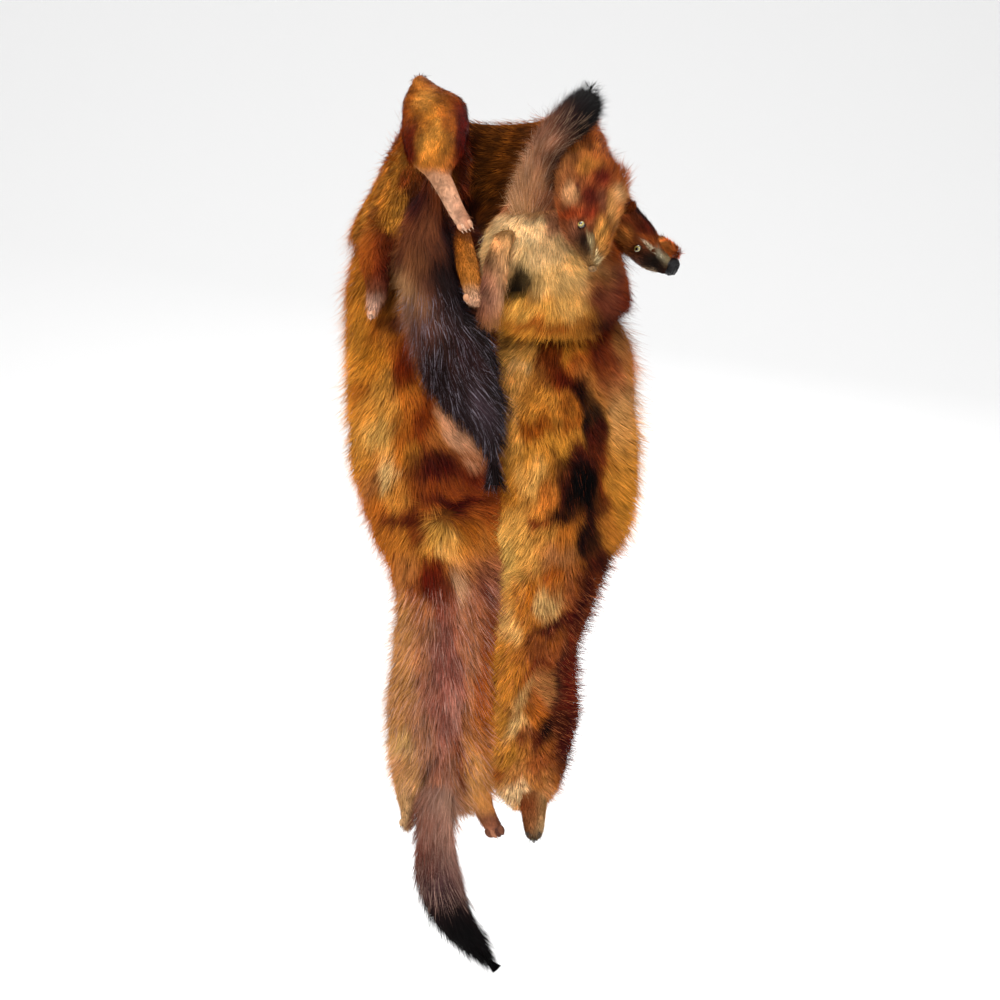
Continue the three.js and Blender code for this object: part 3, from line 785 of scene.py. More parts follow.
RIGHT_BANDS = [
    [0, 20, 106, RUST, DARK_RED, DARK_RED],
    [-100, -2, 100, GOLD, ORANGE, DARK_RED],
    [-130, -2, 106, PALE_GOLD, RUST, ORANGE],
    [-160, -1, 110, GOLD, ORANGE, TAN],
    [-200, 0, 112, GOLD, GOLD, GOLD],
    [-240, 0, 110, GOLD, ORANGE, GOLD],
    [-270, 0, 100, PALE_GOLD, ORANGE, GOLD],
    [-300, 0, 86, PALE_GOLD, ORANGE, RUST],
    [-340, -3, 70, GOLD, ORANGE, DARK_RED],
    [-380, -6, 63, GOLD, RUST, DARK_RED],
    [-430, -7, 60, GOLD, ORANGE, DARK_RED],
    [-490, -4, 46, TAN, TAN, ORANGE],
]
# The right skin's gold tufts and the dark red creases between them are partly the fur's own colour
# and partly painted light on the tufts' tops and painted shade in the creases.
RIGHT_PATCHES = [
    [5, -104, 7, 12, 0, PALE_GOLD, 0.8],
    [13, -108, 6, 8, 0, (176, 96, 28), 0.7],
    # painted shade in the crease under the breast fold
    [44, -109, 30, 6, 10, (78, 22, 15), 0.95],
    [80, -110, 11, 26, 0, (86, 24, 16), 0.95],
    [101, -120, 6, 26, 0, (180, 118, 64), 0.75],
    [22, -124, 10, 12, 0, (218, 156, 74), 0.9],
    [17, -135, 8, 7, 0, (228, 178, 110), 0.85],
    [54, -121, 8, 13, -10, (190, 118, 40), 0.85],
    [39, -130, 7, 17, -12, (106, 40, 12), 0.9],
    [74, -150, 14, 10, -40, (184, 112, 52), 0.7],
    [9, -160, 8, 26, 0, (216, 154, 78), 0.85],
    [36, -162, 12, 10, 0, (210, 138, 54), 0.95],
    [48, -147, 8, 8, 0, (134, 56, 18), 0.85],
    [62, -154, 15, 9, -50, (42, 13, 12), 1.0],
    [50, -142, 10, 9, -30, (92, 28, 12), 0.9],
    [79, -162, 7, 10, 0, (184, 114, 52), 0.7],
    [73, -178, 9, 21, 0, (26, 10, 10), 1.0],
    [97, -176, 9, 46, 0, (200, 146, 86), 0.85],
    [28, -185, 14, 8, 0, (142, 66, 12), 0.9],
    [50, -198, 13, 8, 10, (220, 146, 52), 1.0],
    [78, -195, 6, 13, 0, (82, 24, 14), 0.9],
    [8, -196, 8, 16, 0, (210, 148, 68), 0.8],
    [64, -208, 18, 10, 0, (66, 18, 12), 0.95],
    [62, -226, 20, 26, 0, (80, 24, 14), 0.95],
    [47, -236, 7, 15, 0, (72, 22, 14), 0.9],
    [84, -224, 6, 26, 0, (108, 36, 16), 0.85],
    [98, -228, 9, 36, 0, (196, 128, 46), 0.85],
    [25, -227, 10, 14, 0, (226, 168, 86), 0.95],
    [6, -240, 8, 14, 0, (192, 116, 36), 0.75],
    [38, -240, 6, 12, 0, (184, 104, 40), 0.7],
    [50, -254, 9, 7, -20, (48, 16, 14), 1.0],
    [32, -257, 11, 3, -8, (124, 42, 16), 0.9],
    [74, -256, 12, 14, 0, (66, 20, 14), 0.95],
    [64, -232, 13.5, 21, 0, (8, 6, 6), 1.0],
    [59, -176, 5, 12, 0, (150, 72, 18), 0.8],
    [88, -262, 7, 12, 0, (184, 112, 42), 0.8],
    [13, -276, 11, 22, 0, (220, 160, 76), 0.95],
    [37, -270, 11, 6, 0, (196, 132, 56), 0.85],
    [68, -272, 9, 20, -12, (36, 13, 11), 1.0],
    [80, -288, 9, 12, 0, (64, 20, 16), 0.95],
    [45, -286, 13, 9, 0, (174, 112, 66), 0.85],
    [55, -301, 10, 9, 0, (150, 86, 44), 0.7],
    [35, -302, 10, 6, 0, (158, 76, 16), 0.9],
    [1, -290, 8, 20, 0, (222, 172, 88), 0.85],
    [36, -325, 9, 10, 0, (228, 180, 110), 1.0],
    [19, -316, 6, 12, 0, (172, 92, 18), 0.85],
    [54, -318, 9, 12, 0, (138, 74, 40), 0.8],
    [68, -318, 8, 28, -20, (60, 17, 13), 1.0],
    [92, -134, 10, 22, 0, (124, 52, 28), 0.85],
    [8, -342, 9, 13, 0, (220, 168, 96), 0.9],
    [42, -342, 25, 6, 31, (70, 20, 16), 1.0],
    [36, -364, 13, 9, 0, (144, 74, 36), 0.8],
    [4, -368, 8, 12, 0, (196, 124, 46), 0.75],
    [28, -375, 11, 3, 35, (108, 38, 18), 0.9],
    [40, -390, 12, 12, 0, (172, 114, 64), 0.85],
    [18, -398, 13, 5, 40, (216, 166, 100), 0.9],
    [49, -378, 5.5, 26, 0, (66, 32, 27), 0.9],
    [58, -392, 6, 60, 0, (94, 26, 16), 0.95],
    [10, -420, 10, 11, 0, (226, 180, 112), 0.95],
    [38, -422, 14, 5.5, 45, (12, 7, 7), 1.0],
    [25, -432, 10, 8, 30, (84, 28, 16), 0.9],
    [52, -438, 9, 24, 0, (66, 18, 15), 0.95],
    [4, -444, 10, 8, 0, (198, 130, 46), 0.8],
    [-2, -457, 7, 6, 0, (160, 76, 18), 0.8],
    [32, -448, 11, 9, 0, (136, 66, 30), 0.8],
    [24, -465, 11, 5, 0, (186, 116, 54), 0.7],
    [10, -478, 15, 8, 0, (232, 192, 138), 0.95],
    [32, -476, 10, 8, 0, (194, 136, 86), 0.8],
]
FOLD_BANDS = [
    [10, 0, 70, TAUPE, TAUPE, RUST],
    [-8, -4, 76, RUST, TAN, RUST],
    [-26, -12, 90, CREAM, CREAM, RUST],
    [-60, -15, 102, TAN, CREAM, RUST],
    [-85, -8, 100, GOLD, GOLD, DARK_RED],
    [-104, 0, 90, GOLD, GOLD, DARK_RED],
]
FOLD_PATCHES = [
    [16, -22, 22, 12, 0, (242, 208, 152), 0.95],
    [0, -39, 14, 14, 0, (236, 196, 136), 0.9],
    [-12, -18, 8, 9, 0, (150, 96, 44), 0.8],
    [36, -40, 14, 12, 0, (236, 194, 134), 0.9],
    [48, -19, 11, 14, 0, (160, 98, 70), 0.85],
    [24, -3, 16, 8, 0, (176, 128, 84), 0.8],
    [64, -51, 14, 12, 0, (228, 178, 104), 0.85],
    [38, -67, 18, 12, 0, (226, 176, 104), 0.85],
    [24, -91, 22, 7, 0, (212, 156, 72), 0.9],
    [56, -87, 14, 9, 0, (218, 166, 90), 0.85],
    [80, -70, 10, 10, 0, (180, 116, 60), 0.7],
    [85, -83, 13, 16, 0, (104, 50, 36), 0.9],
    [97, -66, 8, 14, 0, (118, 58, 42), 0.85],
    [36, -103, 30, 4, 0, (160, 78, 26), 0.85],
    [88, -102, 14, 7, 0, (62, 26, 20), 0.9],
    [-9, -56, 8, 16, 0, (222, 180, 122), 0.8],
    # near black: painted shade in the hollow under the foreleg
    [15, -68, 13.5, 12, 0, (3, 2, 2), 1.0],
]
NECK_BANDS = [
    [110, -90, 90, ORANGE, ORANGE, RUST],
    [70, -90, 96, ORANGE, ORANGE, RUST],
    [30, -110, 106, GOLD, ORANGE, RUST],
    [-10, -118, 108, GOLD, RUST, RUST],
    [-45, -118, 108, RUST, RUST, RUST],
]
NECK_PATCHES = [
    [-90, 29, 10, 20, 0, (200, 128, 46), 0.8],
    [-98, 5, 8, 16, 0, (190, 116, 38), 0.7],
    [-85, -16, 9, 12, 0, (206, 136, 52), 0.8],
    [-73, 22, 8, 12, 0, (134, 48, 20), 0.85],
    [-72, 0, 9, 12, 0, (60, 16, 16), 0.95],
    [-57, 17, 10, 16, 0, (106, 34, 20), 0.85],
    [-106, -10, 7, 12, 0, (130, 64, 28), 0.75],
    [-93, -33, 7, 10, 0, (80, 22, 14), 0.9],
    [-31, 46, 9, 46, 0, (86, 20, 14), 0.95],
    [-28, 4, 8, 22, 0, (104, 42, 24), 0.9],
    [73, 46, 9, 8, 0, (198, 114, 54), 0.8],
    [90, 54, 7, 8, 0, (156, 76, 34), 0.7],
    [82, 36, 10, 11, 0, (98, 26, 18), 0.9],
    [94, 32, 7, 12, 0, (118, 44, 24), 0.85],
    # painted shadow of the collar tail on the neck skin
    [50, 33, 9, 14, 0, (56, 22, 18), 0.9],
    [90, 38, 8, 15, 10, (78, 20, 15), 0.95],
    [80, 48, 7, 5, 0, (196, 116, 50), 0.8],
    [74, 40, 4, 12, 0, (104, 36, 20), 0.85],
    [61, 34, 8, 10, 0, (208, 134, 60), 0.85],
    [86, 12, 9, 10, 0, (146, 66, 34), 0.8],
    [100, 13, 6, 10, 0, (216, 164, 108), 0.85],
    [94, -8, 6, 14, 0, (206, 148, 84), 0.8],
]
LEFT_TAIL_BANDS = [
    [-440, -70, -28, (160, 110, 84), (160, 104, 86), (170, 122, 94)],
    [-478, -70, -30, (140, 92, 72), (170, 124, 104), (186, 142, 116)],
    [-505, -71, -30, (118, 64, 50), (140, 94, 78), (186, 140, 118)],
    [-530, -71, -30, (116, 66, 54), (104, 64, 56), (150, 108, 94)],
    [-548, -68, -28, (84, 50, 46), (84, 60, 62), (100, 68, 62)],
    [-565, -60, -20, (48, 30, 30), (34, 23, 25), (50, 34, 32)],
    [-585, -46, -14, (20, 14, 15), (15, 11, 12), (20, 14, 15)],
    [-620, -10, 2, (15, 11, 12), (13, 10, 11), (15, 11, 12)],
]
NECK_TAIL_BANDS = [
    [30, -84, -40, (110, 44, 22), (120, 60, 34), (96, 40, 24)],
    [-2, -80, -40, (84, 28, 20), (118, 58, 34), (80, 34, 22)],
    [-34, -84, -36, (132, 72, 38), (116, 62, 38), (48, 20, 18)],
    [-64, -88, -32, (154, 112, 70), (112, 64, 42), (40, 22, 20)],
    [-90, -80, -20, (160, 114, 88), (74, 46, 40), (32, 20, 19)],
    [-115, -74, -8, (108, 64, 48), (50, 28, 25), (34, 20, 18)],
    [-160, -56, 0, (54, 32, 28), (50, 32, 30), (38, 24, 23)],
    [-200, -24, 3, (60, 42, 42), (50, 36, 37), (42, 29, 29)],
    [-235, -10, 2, (44, 30, 30), (40, 28, 27), (36, 25, 25)],
]
NECK_TAIL_PATCHES = [
    [-70, -4, 12, 11, 0, (54, 13, 15), 0.9],
    [-50, 2, 6, 16, 0, (118, 60, 32), 0.8],
    [-60, -26, 11, 13, 0, (116, 66, 40), 0.8],
    [-40, -32, 8, 20, 0, (40, 14, 14), 0.95],
    [-82, -50, 8, 12, 0, (76, 30, 18), 0.85],
    [-64, -52, 8, 10, 0, (124, 74, 44), 0.8],
    [-45, -62, 11, 14, 0, (34, 16, 16), 0.85],
    [-78, -73, 11, 8, 0, (158, 114, 76), 0.9],
    [-67, -90, 10, 11, 0, (132, 88, 60), 0.8],
    [-88, -96, 9, 8, 0, (58, 22, 24), 0.9],
    [-60, -112, 9, 14, 20, (100, 62, 52), 0.8],
    [-32, -82, 12, 18, 20, (32, 22, 26), 0.8],
    [-50, -142, 10, 22, 25, (36, 15, 15), 0.95],
    [-26, -128, 8, 20, 20, (58, 32, 32), 0.8],
    [-14, -170, 8, 18, 20, (72, 56, 62), 0.8],
    [-30, -166, 8, 16, 25, (44, 28, 30), 0.85],
]
COLLAR_TAIL_BANDS = [
    [-30, 8, 42, (206, 156, 104), (184, 136, 92), (160, 108, 76)],
    [10, 11, 40, (180, 132, 92), (168, 118, 80), (128, 76, 50)],
    [35, 20, 50, (172, 122, 86), (156, 102, 72), (50, 26, 20)],
    [52, 29, 62, (160, 108, 80), (122, 76, 58), (24, 14, 12)],
    [70, 40, 70, (116, 74, 56), (46, 26, 22), (18, 10, 10)],
    [86, 52, 78, (36, 20, 18), (20, 12, 11), (16, 10, 9)],
    [110, 66, 82, (20, 13, 12), (18, 11, 10), (16, 10, 9)],
]
HEAD_DOWN_BANDS = [
    [40, 52, 104, (150, 92, 50), (160, 86, 40), RUST],
    [10, 52, 100, (150, 88, 50), (124, 56, 30), (146, 80, 42)],
    [-14, 54, 94, (140, 68, 36), (134, 66, 36), (170, 106, 54)],
    [-34, 58, 90, (140, 88, 58), (120, 74, 46), (180, 114, 52)],
    [-60, 64, 84, (206, 160, 98), (196, 140, 80), (196, 130, 62)],
]
HEAD_DOWN_PATCHES = [
    [56, 6, 6, 9, 0, (206, 150, 100), 0.85],
    [62, 12, 1.8, 4, 0, (84, 36, 26), 0.9],
    [72, 31, 10, 7, 0, (206, 130, 56), 0.85],
    [83, 22, 8, 8, 0, (98, 30, 20), 0.95],
    [73, 3, 7, 8, 0, (104, 34, 22), 0.9],
    [82, -1, 4, 10, 0, (146, 82, 56), 0.8],
    [56, -11, 8, 5, 0, (146, 58, 26), 0.9],
    [72, -11, 7, 5, 0, (116, 42, 24), 0.9],
    [90, -5, 4.5, 14, 0, (204, 146, 82), 0.85],
    [97, 8, 5, 8, 0, (210, 156, 100), 0.85],
    [81, -28, 5, 12, 0, (208, 146, 72), 0.85],
    [90, -33, 6, 9, 0, (168, 98, 42), 0.8],
    [60, -27, 5, 9, 0, (138, 84, 60), 0.85],
    [67, -37, 4.5, 12, 8, (56, 37, 29), 0.95],
    [74, -40, 2, 12, 17, (222, 196, 142), 1.0],
    [78, -51, 5, 4.5, 0, (218, 190, 138), 0.9],
]
HEAD_SIDE_BANDS = [
    [20, 90, 130, (110, 44, 24), (80, 30, 18), (50, 18, 14)],
    [-10, 90, 134, (150, 80, 40), (130, 60, 30), (90, 32, 20)],
    [-30, 96, 140, (180, 106, 48), (146, 70, 34), (170, 90, 40)],
    [-54, 100, 140, (120, 74, 56), (70, 50, 42), (60, 44, 40)],
]
HEAD_SIDE_PATCHES = [
    [117, -3, 14, 4.5, -45, (46, 16, 13), 0.95],
    [108, -12, 7, 6, 0, (146, 70, 36), 0.8],
    [103, -21, 7, 6, 0, (198, 120, 56), 0.85],
    [121, -15, 8, 6, 0, (96, 34, 22), 0.9],
    [116, -24, 7, 3, -20, (160, 80, 38), 0.8],
    [126, -43, 13, 8.5, -25, (44, 35, 30), 1.0],
    [128, -34.5, 11, 1.9, -32, (222, 206, 170), 1.0],
    [138, -40, 3, 4.5, 0, (208, 188, 142), 0.9],
    [124, -51, 10, 2, -15, (176, 146, 116), 0.85],
    [110, -43, 6, 4, 0, (120, 76, 60), 0.8],
]


def banded(bands, patches=(), seed=1, ragged=5.0):
    """The colour of a piece as a function of its points."""
    return lambda points: blend_colours(points, bands, patches, seed, ragged)


def painted_inner_shade(colours):
    """The neck skin's colours with painted shade where it faces the wearer, in the collar's
    hollow:
    nearer to the neck's axis than the middle of the skin, which spreads as it falls, and behind
    the collar's fronts. The change is a straight ramp across the middle, and one from the fronts
    to the sides."""
    axis_x, axis_y, radius, top, spread = -5, -72, 58, 95, 0.42
    half_ramp, front_y, front_ramp, share = 4, -100, 25, 0.62

    def shade(points):
        """The colours times less than one on the inner side: painted shade."""
        x, y, z = points.T
        d = np.hypot(x - axis_x, y - axis_y) - (radius + (top - z) * spread)
        inner = np.clip(0.5 - d / (2 * half_ramp), 0, 1)
        inner = inner * np.clip((y - front_y) / front_ramp, 0, 1)
        return colours(points) * (1 - share * inner)[:, None]
    return shade


def dull(colours, share):
    """The same colours, darker: the leather between the hairs."""
    return lambda points: colours(points) * share


def skin_pieces(name, rows, length, flat, rests_on, colours, strands, seed, inset=6.0,
                plump=2.35, swells=(), draws=(), material=None, held="hung", bare=0.35,
                leather_of=None, fringe=None, rings=None, **coat):
    """One skin of the scarf: its hide, in place of the CAD solid, and the fur on it. The bare
    leather has the fur's colours times bare. A fringe is a number and length of long loose
    hairs along the skin's two side edges."""
    skin = Skin(rows, plump, swells, draws)
    leather = hide(name + "_hide", skin, inset, dull(colours, bare),
                   leather_of or under_leather, rings)
    wall = leather.modifiers.new("leather_wall", "SOLIDIFY")
    wall.thickness = HIDE_WALL * MM
    wall.offset = -1
    coats = [fur(name + "_fur_1", skin, strands, length, seed, colours, material or hair,
                 inset=inset, **coat)]
    if fringe:
        loose = {**coat, "lift": (42, 24), "flare": 1.7, "pull": 0.1, "width": 0.26,
                 "stray": 0.3, "segments": 1, "tint": (0.05, 0.3), "cover": (1.0, 0.8),
                 "keep": lambda p, n: np.where(
                     (np.abs(n[..., 0]) > 0.55) & (n[..., 1] < 0.4), 1.0, 0.0)}
        coats.append(fur(name + "_loose_hair", skin, *fringe, seed + 50, colours,
                         material or hair, inset=inset, **loose))
    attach(leather, "root")
    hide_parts(name)
    for piece in coats:
        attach(piece, "root")


# Lay: x, z, half width, half height, heading in degrees from straight down, amount.
# Whorls: x, z, radius, amount. Bald spots: x, z, half width, half height.
# Streaks: share of the hairs, colour, strength, lowest and highest z.
# Draws: side, mm drawn in, share of the path, spread.
TAIL = {"plump": 2.0, "material": tail_hair, "flare": 0.2, "segments": 2, "width": 0.42,
        "pull": 0.2, "lift": (22, 5), "clump": 4.0, "stray": 0.14, "reach": 1.35,
        "cover": (1.0, 0.6), "ends": (1.0, 0.75), "tint": (0.1, 0.24)}

skin_pieces(
    "left_front_skin", LEFT_FRONT, 19, (0.229, 0.526, 0.0937), ["root"],
    banded(LEFT_BANDS, LEFT_PATCHES, 11), 88000, 21, swells=LEFT_SWELLS, inset=4.5,
    draws=[(-1, 4, 0.5, 9), (-1, 7, 0.5, 0.09), (1, -3, 0.7, 0.5), (1, -7, 0.15, 0.05)],
    fringe=(6000, 19),
    lay=[
        [-115, -60, 30, 60, -25, 1.0],
        [-12, -70, 14, 50, 80, 2.4],
        [-24, -32, 12, 16, 82, 3.2],
        [-120, -190, 16, 45, -35, 0.9],
        [-106, -262, 18, 30, -35, 0.7],
        [-45, -140, 30, 40, 25, 1.0],
        [-30, -200, 22, 20, 35, 1.5],
        [-28, -238, 34, 9, 85, 2.0],
        [-74, -240, 20, 9, -60, 1.2],
        [-30, -320, 14, 25, 20, 0.7],
        [-6, -400, 9, 130, 62, 3.0],
    ],
    # pale lilac strands low down: partly pale hairs, partly painted sheen
    streaks=[(0.2, (206, 158, 140), 0.5, -500, -300), (0.06, (96, 46, 28), 0.8, -500, 0)],
    whorls=[[-44, -253, 18, 2.6]],
)
skin_pieces(
    "right_front_skin", RIGHT_FRONT, 14, (0.219, 0.538, 0.0835), ["root"],
    banded(RIGHT_BANDS, RIGHT_PATCHES, 31), 92000, 41, swells=RIGHT_SWELLS, inset=4.5,
    ends=(1, 0.55),
    draws=[(1, 3, 0.5, 9), (1, 6, 0.65, 0.06), (1, -6, 0.25, 0.05), (-1, -3, 0.6, 0.5)],
    fringe=(6500, 20),
    lay=[
        [8, -130, 20, 30, -25, 1.0],
        [8, -80, 14, 40, -80, 2.4],
        [85, -130, 20, 30, 35, 1.2],
        [102, -200, 14, 80, 78, 2.2],
        [40, -190, 25, 15, 55, 1.5],
        [88, -280, 14, 30, 65, 1.8],
        [60, -330, 20, 20, 85, 1.8],
        [35, -395, 22, 26, 120, 1.9],
        [5, -400, 12, 60, -20, 1.0],
        [60, -400, 8, 60, 100, 1.8],
        [45, -440, 14, 20, 100, 1.2],
        [25, -470, 30, 10, 60, 0.8],
        [-4, -390, 9, 130, -60, 2.6],
        [0, -476, 14, 12, -40, 1.8],
    ],
    whorls=[[22, -300, 14, 1.2], [48, -206, 10, 1.0]],
    streaks=[(0.14, (166, 92, 56), 0.7, -480, -290), (0.05, (90, 38, 18), 0.8, -480, -100)],
)
skin_pieces(
    "neck_skin", NECK, 13, (0.277, 0.486, 0.0979), ["root"],
    painted_inner_shade(banded(NECK_BANDS, NECK_PATCHES, 51)), 40000, 61, inset=5.0, reverse=True,
    flare=0.25,
    cover=(1.0, 0.8), held="draped", locks=0.34, fringe=(3500, 15),
    lay=[[-105, -10, 30, 50, -35, 1.2], [-90, 60, 30, 40, -20, 0.8],
         [-28, 20, 14, 50, 65, 1.5]],
)
skin_pieces(
    "breast_fold", BREAST_FOLD, 13, (0.228, 0.128, 0.0218), ["right_front_skin"],
    banded(FOLD_BANDS, FOLD_PATCHES, 71), 42000, 81, swells=FOLD_SWELLS, inset=6.0,
    # the bald spot bares the near-black painted shade of the hollow
    cover=(1.0, 0.25), held="folded", bald=[(15, -68, 10.5, 9)], root=0.6, locks=0.1,
    ends=(1.0, 1.5),
    lay=[
        [-6, -30, 16, 22, -60, 1.4],
        [20, -20, 20, 20, -20, 0.6],
        [62, -60, 24, 24, 30, 0.8],
        [96, -60, 14, 40, 78, 2.2],
        [92, -90, 14, 16, 60, 1.4],
    ],
)
skin_pieces("left_tail", LEFT_TAIL, 24, (0.073, 0.193, 0.0102), ["left_front_skin"],
            banded(LEFT_TAIL_BANDS, (), 91), 15000, 101, inset=8.0,
            keep=lambda p, n: np.where(p[..., 2] > -602, 1.0, 0.0),
            streaks=[(0.2, (190, 150, 132), 0.6, -548, 0)], **TAIL)
skin_pieces("neck_tail", NECK_TAIL, 26, (0.114, 0.276, 0.0193), ["left_front_skin"],
            banded(NECK_TAIL_BANDS, NECK_TAIL_PATCHES, 111, 3.0), 28000, 121, inset=7.5,
            keep=lambda p, n: np.where(p[..., 2] > -220, 1.0, 0.0),
            # silver strands: partly pale guard hairs, partly painted sheen on the dark tail
            streaks=[(0.09, (142, 132, 142), 0.8, -300, -60)], fringe=(2500, 15), **TAIL)
skin_pieces("collar_tail", COLLAR_TAIL, 24, (0.062, 0.164, 0.0072), ["neck_skin"],
            banded(COLLAR_TAIL_BANDS, (), 131), 13000, 141, inset=6.0,
            keep=lambda p, n: np.where(p[..., 2] < 90, 1.0, 0.0),
            streaks=[(0.14, (200, 160, 130), 0.6, -50, 56)], fringe=(2000, 14), **TAIL)

HEAD = {"plump": 2.0, "flare": 0.1, "reverse": True, "lift": (32, 12), "width": 0.3,
        "clump": 3.0, "stray": 0.1, "inset": 2.4, "cover": (1.0, 0.7), "locks": 0.3}
skin_pieces("head_down", HEAD_DOWN, 9, (0.105, 0.108, 0.0091), ["breast_fold"],
            banded(HEAD_DOWN_BANDS, HEAD_DOWN_PATCHES, 151, 1.2), 16000, 161,
            ends=(1.7, 0.6), bald=[(73.5, -40, 1.8, 10), (65, -22, 3.4, 3.4)],
            **{**HEAD, "stray": 0.2, "lift": (40, 16)})
skin_pieces("head_side", HEAD_SIDE, 6, (0.101, 0.093, 0.0075), ["neck_skin"],
            banded(HEAD_SIDE_BANDS, HEAD_SIDE_PATCHES, 171, 1.2), 16000, 181,
            ends=(1.5, 0.45), bald=[(114, -34, 4, 3), (130, -35.5, 4, 1.5)], **HEAD)

LEG = {"plump": 2.0, "flare": 0.15, "lift": (24, 8), "width": 0.3, "clump": 3.0,
       "stray": 0.05, "inset": 2.0, "cover": (1.0, 0.6)}
THIGH_BANDS = [
    [112, -78, -62, (130, 70, 34), (180, 108, 44), (120, 60, 30)],
    [92, -80, -44, (164, 86, 28), (186, 116, 42), (146, 74, 24)],
    [72, -80, -32, (158, 72, 22), (190, 122, 44), (110, 32, 16)],
    [52, -79, -28, (110, 36, 13), (190, 122, 46), (86, 20, 13)],
    [36, -74, -30, (122, 44, 17), (196, 126, 48), (120, 44, 20)],
    [27, -68, -34, (184, 108, 42), (190, 116, 46), (156, 80, 36)],
    [20, -60, -34, (160, 110, 78), (180, 128, 94), (150, 98, 70)],
    [-28, -46, -18, (196, 146, 112), (204, 156, 126), (150, 98, 72)],
]
THIGH_PATCHES = [
    # painted highlight along the bright ridge of the thigh's fold
    [-55, 50, 6, 22, -24, (196, 132, 54), 0.8],
    [-31, 54, 5, 28, 0, (88, 20, 13), 0.95],
    [-73, 46, 5, 22, 0, (104, 32, 12), 0.95],
    [-62, 88, 9, 8, 0, (212, 146, 64), 0.7],
    [-42, 66, 5, 12, 20, (180, 96, 34), 0.7],
]
OUTER_BANDS = [
    [-20, -112, -84, (178, 98, 34), (150, 70, 28), DARK_RED],
    [-58, -110, -90, (160, 80, 30), (126, 52, 24), (80, 26, 16)],
    [-74, -110, -92, (140, 76, 44), (130, 76, 54), (90, 40, 30)],
    [-82, -110, -94, (216, 164, 134), (222, 172, 146), (150, 100, 76)],
    [-96, -108, -96, (232, 186, 160), (226, 178, 152), (190, 134, 108)],
]
FORE_BANDS = [
    [-20, -42, -20, (90, 30, 16), (106, 40, 20), (116, 44, 22)],
    [-36, -40, -18, (160, 84, 28), (184, 106, 38), (190, 116, 50)],
    [-66, -32, -14, (180, 106, 40), (196, 122, 50), (176, 104, 44)],
    [-76, -28, -12, (206, 148, 104), (222, 170, 130), (180, 118, 78)],
    [-90, -26, -10, (226, 180, 150), (214, 158, 124), (186, 128, 94)],
]
LOCK_BANDS = [
    [-24, -2, 18, (160, 116, 70), (168, 122, 74), (176, 130, 80)],
    [-46, -8, 10, (156, 110, 70), (176, 130, 84), (190, 144, 92)],
    [-64, -12, 6, (134, 84, 64), (172, 122, 88), (200, 152, 104)],
    [-84, -14, 4, (140, 90, 70), (168, 114, 88), (190, 142, 104)],
    [-100, -16, 0, (130, 78, 52), (160, 104, 66), (180, 120, 70)],
]
skin_pieces("neck_leg_inner", NECK_LEG_INNER, 8, (0.106, 0.182, 0.0112), ["neck_skin"],
            banded(THIGH_BANDS, THIGH_PATCHES, 191, 2.0), 23000, 201, droop=0.3,
            keep=lambda p, n: np.where(p[..., 2] > 27 - 0.3 * (p[..., 0] + 52), 1.0, 0.03),
            bare=1.0, leather_of=paw_leather, rings=(44, 28),
            **{**LEG, "lift": (34, 14), "locks": 0.3, "width": 0.36})
skin_pieces("neck_leg_outer", NECK_LEG_OUTER, 13, (0.047, 0.086, 0.0029), ["neck_skin"],
            banded(OUTER_BANDS, (), 211, 2.0), 5000, 213, ends=(1.5, 0.3),
            **{**LEG, "lift": (40, 16)})
skin_pieces("left_fore_leg", LEFT_FORE_LEG, 6, (0.042, 0.08, 0.0029), ["left_front_skin"],
            banded(FORE_BANDS, (), 221, 2.0), 7000, 223, **LEG)
skin_pieces("right_fore_leg", RIGHT_FORE_LEG, 15, (0.033, 0.079, 0.0021), ["breast_fold"],
            banded(LOCK_BANDS, (), 231, 2.0), 7000, 233,
            root=0.75, ends=(0.5, 1.2), bare=0.8,
            **{**LEG, "lift": (30, 8), "locks": 0.4, "width": 0.36, "pull": 0.4})
skin_pieces("left_hind_leg_outer", LEFT_HIND_LEG_OUTER, 8, (0.044, 0.062, 0.002),
            ["left_front_skin"],
            banded([[-440, -90, -64, TAN, TAN, (120, 76, 50)],
                    [-484, -84, -66, (196, 144, 92), (206, 158, 106), (140, 92, 60)],
                    [-502, -82, -68, (150, 110, 76), (190, 150, 108), (120, 84, 60)]], (), 241, 2),
            5000, 243, **LEG)
skin_pieces("left_hind_leg_inner", LEFT_HIND_LEG_INNER, 8, (0.042, 0.072, 0.0025),
            ["left_front_skin"],
            banded([[-440, -30, -6, (208, 146, 80), (206, 140, 72), ORANGE],
                    [-484, -26, 0, (190, 128, 68), (196, 132, 70), (160, 92, 44)],
                    [-494, -20, 4, (150, 96, 62), (130, 76, 52), (96, 52, 36)],
                    [-510, -16, 6, (110, 66, 48), (150, 94, 70), (84, 46, 34)]], (), 251, 2),
            4000, 253, bare=1.0, leather_of=paw_leather, rings=(30, 20),
            keep=lambda p, n: np.where(p[..., 2] > -496, 1.0, 0.1), **LEG)
skin_pieces("right_hind_leg", RIGHT_HIND_LEG, 7, (0.052, 0.063, 0.0027), ["right_front_skin"],
            banded([[-450, 12, 40, ORANGE, TAN, TAN],
                    [-484, 14, 38, (110, 50, 24), (136, 72, 38), (200, 152, 96)],
                    [-500, 16, 36, (120, 62, 32), (140, 92, 56), (206, 166, 116)],
                    [-512, 16, 36, (50, 38, 30), (84, 72, 56), (70, 60, 48)]], (), 261, 2),
            6000, 263, keep=lambda p, n: np.where(p[..., 2] > -503, 1.0, 0.1), **LEG)


